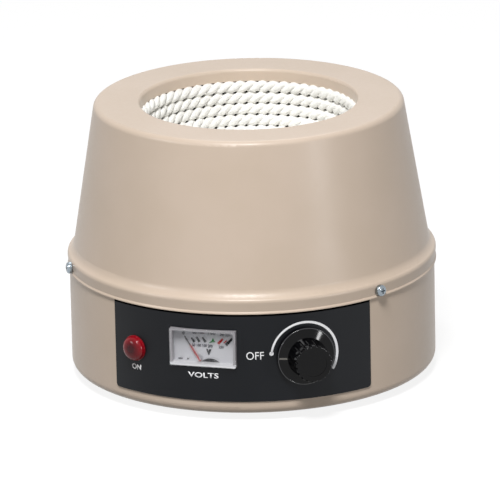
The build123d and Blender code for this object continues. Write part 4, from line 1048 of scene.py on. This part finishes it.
# --- Control panel ---
@dataclass
class ControlPanel:
    """The print on the curved panel, and a painted shadow line along its upper edge."""

    radius: float = 97.7
    lift: float = 0.01  # of the ink, so that it doesn't share the film's face
    arc_radius: float = 17.95
    arc_start: float = 173.0
    arc_end: float = -32.0
    arc_widths: Point = (1.0, 1.5)
    dot_radius: float = 1.15
    off_middle: Point = (-26.4, 1.3)
    off_size: Point = (9.2, 4.2)
    # a painted shadow line, black, where the skirt's edge shades the panel
    border_ends: Point = (-108.2, 38.7)  # along the panel's upper edge
    border_top: float = 23.75
    border_width: float = 0.95
    captions: tuple[tuple[str, Point, Point], ...] = (
        ("VOLTS", (-54.0, -9.9), (16.5, 2.9)), ("ON", (-93.5, -10.3), (6.0, 3.0)),
    )

    def place(self, x: float, y: float) -> Vector:
        """Wrap a point of the flat print round the wall, from the knob's axis."""
        turn, out = radians(KNOB_AT[0]) + x / self.radius, (self.radius + self.lift) * MM
        return Vector((out * sin(turn), -out * cos(turn), (KNOB_AT[1] + y) * MM))

    def build(self) -> None:
        """Print the arc, its dot and the words, and paint the shadow line under the skirt's edge."""
        ink = Printing("panel_print", WHITE_INK)
        line = arc((0, 0), self.arc_radius, self.arc_start, self.arc_end, 96)
        ink.stroke(line, *self.arc_widths)
        ink.disc(line[0], self.dot_radius)
        ink.word("OFF", self.off_middle, self.off_size)
        for caption in self.captions:
            ink.word(*caption, 0.02)
        ink.build(self.place)
        # painted shadow: a black line under the skirt's edge
        seam_shadow = Printing("panel_seam_shadow", SEAM_SHADOW_INK)
        middle = self.border_top - self.border_width / 2
        seam_shadow.stroke([(end, middle) for end in self.border_ends], self.border_width)
        seam_shadow.build(self.place)


@dataclass
class Knob:
    """The index line, and a bead round the rim of the knob's skirt that carries a painted highlight. The
    knob itself keeps its solid.
    """

    angle: float = 179.0
    inner: Point = (10.8, 101.32)  # radius and distance, on the sloping skirt
    outer: Point = (15.2, 100.1)
    width: float = 0.95
    thickness: float = 0.06
    bead: Point = (15.05, 99.9)  # radius and distance of the rim bead's middle
    bead_radius: float = 0.42

    def build(self) -> None:
        """Lay the index line on the skirt and the bead round its rim."""
        turn = radians(self.angle)
        along, across = Vector((cos(turn), sin(turn))), Vector((-sin(turn), cos(turn)))
        loops = []
        for radius, out in (self.inner, self.outer):
            loop = []
            for side, lift in ((-1, -1), (1, -1), (1, 1), (-1, 1)):
                spot = along * radius + across * side * self.width / 2
                loop.append((spot.x, spot.y, out + lift * self.thickness))
            loops.append(loop)
        place = wall_frame(*KNOB_AT)
        fit(loft("knob_index_line", loops, place), INDEX_FILL, "knob")
        section = arc(self.bead, self.bead_radius, 0, 360, 12)[:-1]
        loops = [ring(radius, out, 96) for radius, out in section]
        # the bead is painted lighter grey: a painted highlight along the skirt's rim
        bead = loft("knob_rim_highlight_bead", loops, place, closed=True)
        fit(bead, RIM_PAINTED_HIGHLIGHT, "knob")


@dataclass
class PilotLamp:
    """The ruby lens, smooth outside and ribbed within."""

    flange: Point = (6.9, 98.5)  # radius, and distance of its front
    flange_edge: float = 0.15  # bevel of its front edge
    back: float = 97.7
    dome_radius: float = 6.6
    dome_height: float = 4.2
    wall: float = 1.1
    ribs: int = 24
    rib_depth: float = 0.22
    slit: float = 0.001  # radius left open at its pole

    def build(self) -> None:
        """Turn the lens and rib its inside."""
        steps, rows = self.ribs * 4, 14
        rim, front = self.flange
        # radius, distance and share of the ribs' depth, first inside and then outside
        outline = [(rim, self.back, 0.0), (rim, front - self.flange_edge, 0.0),
                   (rim - self.flange_edge, front, 0.0)]
        inner = []
        inner_tall = front + self.dome_height - self.wall - self.back
        for row in range(rows + 1):
            share = row / rows
            turn = pi / 2 * share
            # fuller than an ellipse near its edge, as a moulded button is
            outline.append((self.dome_radius * cos(turn) ** 0.85 + self.slit,
                            front + self.dome_height * sin(turn) ** 0.95, 0.0))
            ribbed = sin(pi * share) if row < rows else 0.0
            inner.append(((self.dome_radius - self.wall) * sin(turn) + self.slit,
                          self.back + inner_tall * cos(turn), ribbed))
        loops = []
        for radius, out, ribbed in inner + outline:
            loop = []
            for n, (x, y, z) in enumerate(ring(1.0, out, steps)):
                zigzag = abs(n % 4 - 2) / 2
                reach = radius - ribbed * zigzag * self.rib_depth * radius / self.dome_radius
                loop.append((x * reach, y * reach, z))
            loops.append(loop)
        lens = loft("pilot_lens", loops, wall_frame(*LAMP_AT))
        # painted light: a dark core and a bright red ring, for how light passes through the lens
        fit(lens, RUBY_LENS_PAINTED_LIGHT, replaces=("lamp_lens",))


@dataclass
class PanelMeter:
    """The voltmeter: its window, its dial and what is printed on it."""

    width: float = 35.5
    tall: float = 20.0
    face: float = 99.6
    wall: float = 1.3
    corner: float = 0.6
    inner_corner: float = 0.3
    bevel: float = 0.35
    dial_face: float = 94.0
    dial_back: float = 93.4
    lift: float = 0.02  # between faces that would otherwise share a plane
    ink: float = 0.02  # thickness of the print
    sheet: float = 50.0  # wider than the dial, so that the print isn't cut in strips

    def place(self, x: float, y: float) -> Vector:
        """Put a point of the flat print on the dial."""
        return wall_frame(*METER_AT) @ Vector((x, y, self.dial_face + self.lift))

    def window(self) -> None:
        """Mould the polished front and the frosted walls behind its edge."""
        place = wall_frame(*METER_AT)
        inner = (self.width - 2 * self.wall, self.tall - 2 * self.wall)
        outer = (self.width, self.tall)
        joint, bevel = self.face - self.wall, self.bevel
        # how far the outline has drawn in at each distance, round the bevel
        steps = [(0, joint), (0, self.face - bevel), (bevel * 0.3, self.face - bevel * 0.3)]
        front = loft("meter_window_front", [
            rounded(self.width - 2 * cut, self.tall - 2 * cut, self.corner, out)
            for cut, out in [*steps, (bevel, self.face)]
        ], place)
        fit(front, ACRYLIC, replaces=("meter_window",))
        behind = joint - self.lift
        walls = loft("meter_window_walls", [
            rounded(*inner, self.inner_corner, behind),
            rounded(*inner, self.inner_corner, self.dial_back),
            rounded(*outer, self.corner, self.dial_back),
            rounded(*outer, self.corner, behind),
        ], place, closed=True)
        # its sill is painted white: painted light from above, the walls left grey
        fit(walls, FROSTED_PAINTED_LIGHT, replaces=("meter_window",))

    def print_dial(self) -> None:
        """Print the scale, its figures and the letter."""
        black = Printing("dial_print_black", BLACK_INK, self.ink)
        for tip, foot in (
            ((-7.1, 4.0), (-5.4, 1.7)), ((-4.3, 4.7), (-2.7, 1.9)), ((-1.1, 4.7), (0.6, 2.0)),
        ):
            black.stroke([tip, foot], 0.9, 1.6)
        black.stroke([(-10.6, 4.4), (-9.2, 2.2)], 0.7, 1.2)
        black.stroke([(11.5, 1.1), (15.2, 5.0)], 1.8, 1.1)
        black.word("V", (2.2, -3.2), (3.0, 3.3), 0.11)
        black.shapes.append(arc((3.1, -14.2), 7.4, 48, 132, 24))
        black.word("0", (-11.3, 6.2), (1.1, 1.7), 0.03)
        black.stroke([(-14.4, -7.7), (-12.0, -7.7)], 0.8)
        black.stroke([(-9.6, -7.7), (-8.6, -7.7)], 0.9)
        grey = Printing("dial_print_grey", GREY_INK, self.ink)
        for figures, middle, size, weight in (
            ("50 100 150 200", (-1.2, 0.05), (11.2, 1.7), 0.06), ("250", (9.0, -0.2), (2.9, 1.6), 0.05),
            ("50", (-5.3, 6.9), (2.2, 1.4), 0.03), ("100", (-1.6, 7.0), (3.2, 1.3), 0.03),
            ("150", (4.0, 6.9), (4.0, 1.3), 0.03), ("200 250", (11.0, 6.6), (5.4, 1.4), 0.03),
        ):
            grey.word(figures, middle, size, weight)
        green = Printing("dial_print_green", GREEN_INK, self.ink)
        green.shapes.append([(2.2, 1.7), (6.1, 2.3), (5.2, 3.4), (4.7, 4.9), (4.0, 3.2)])
        red = Printing("dial_print_red", RED_INK, self.ink)
        red.stroke([(7.3, 1.5), (8.8, 3.1), (9.9, 4.5)], 1.5, 1.1)
        red.stroke([(10.4, 2.1), (12.1, 3.6)], 0.8, 0.6)
        for layer in (black, grey, green, red):
            layer.build(self.place, self.sheet)

    def build(self) -> None:
        """Make the window and print the dial."""
        self.window()
        self.print_dial()


# --- Everything else ---
def dress_solids(frame: dict) -> None:
    """Give every solid that stays the finish of its slot.

    Args:
        frame: The loaded frame.
    """
    for part in frame["record"]["subparts"]:
        node = frame["nodes"][part["node"]]
        finish = PLATED_BRASS if part["node"] in PLATED else STOCK[part["material_slot"]]
        for slot in node.material_slots:
            slot.material = finish.material()
    log.info("dressed %d solids", len(frame["nodes"]))


def main() -> None:
    """Build the scene and report each piece."""
    logging.basicConfig(level=logging.INFO, format="%(name)s: %(message)s")
    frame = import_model()
    bpy.context.scene.view_settings.view_transform = "Standard"
    Viewpoint().build()
    Studio().build()
    dress_solids(frame)
    for assembly in (WovenBowl(), ControlPanel(), Knob(), PilotLamp(), PanelMeter()):
        assembly.build()


if __name__ == "__main__":
    main()
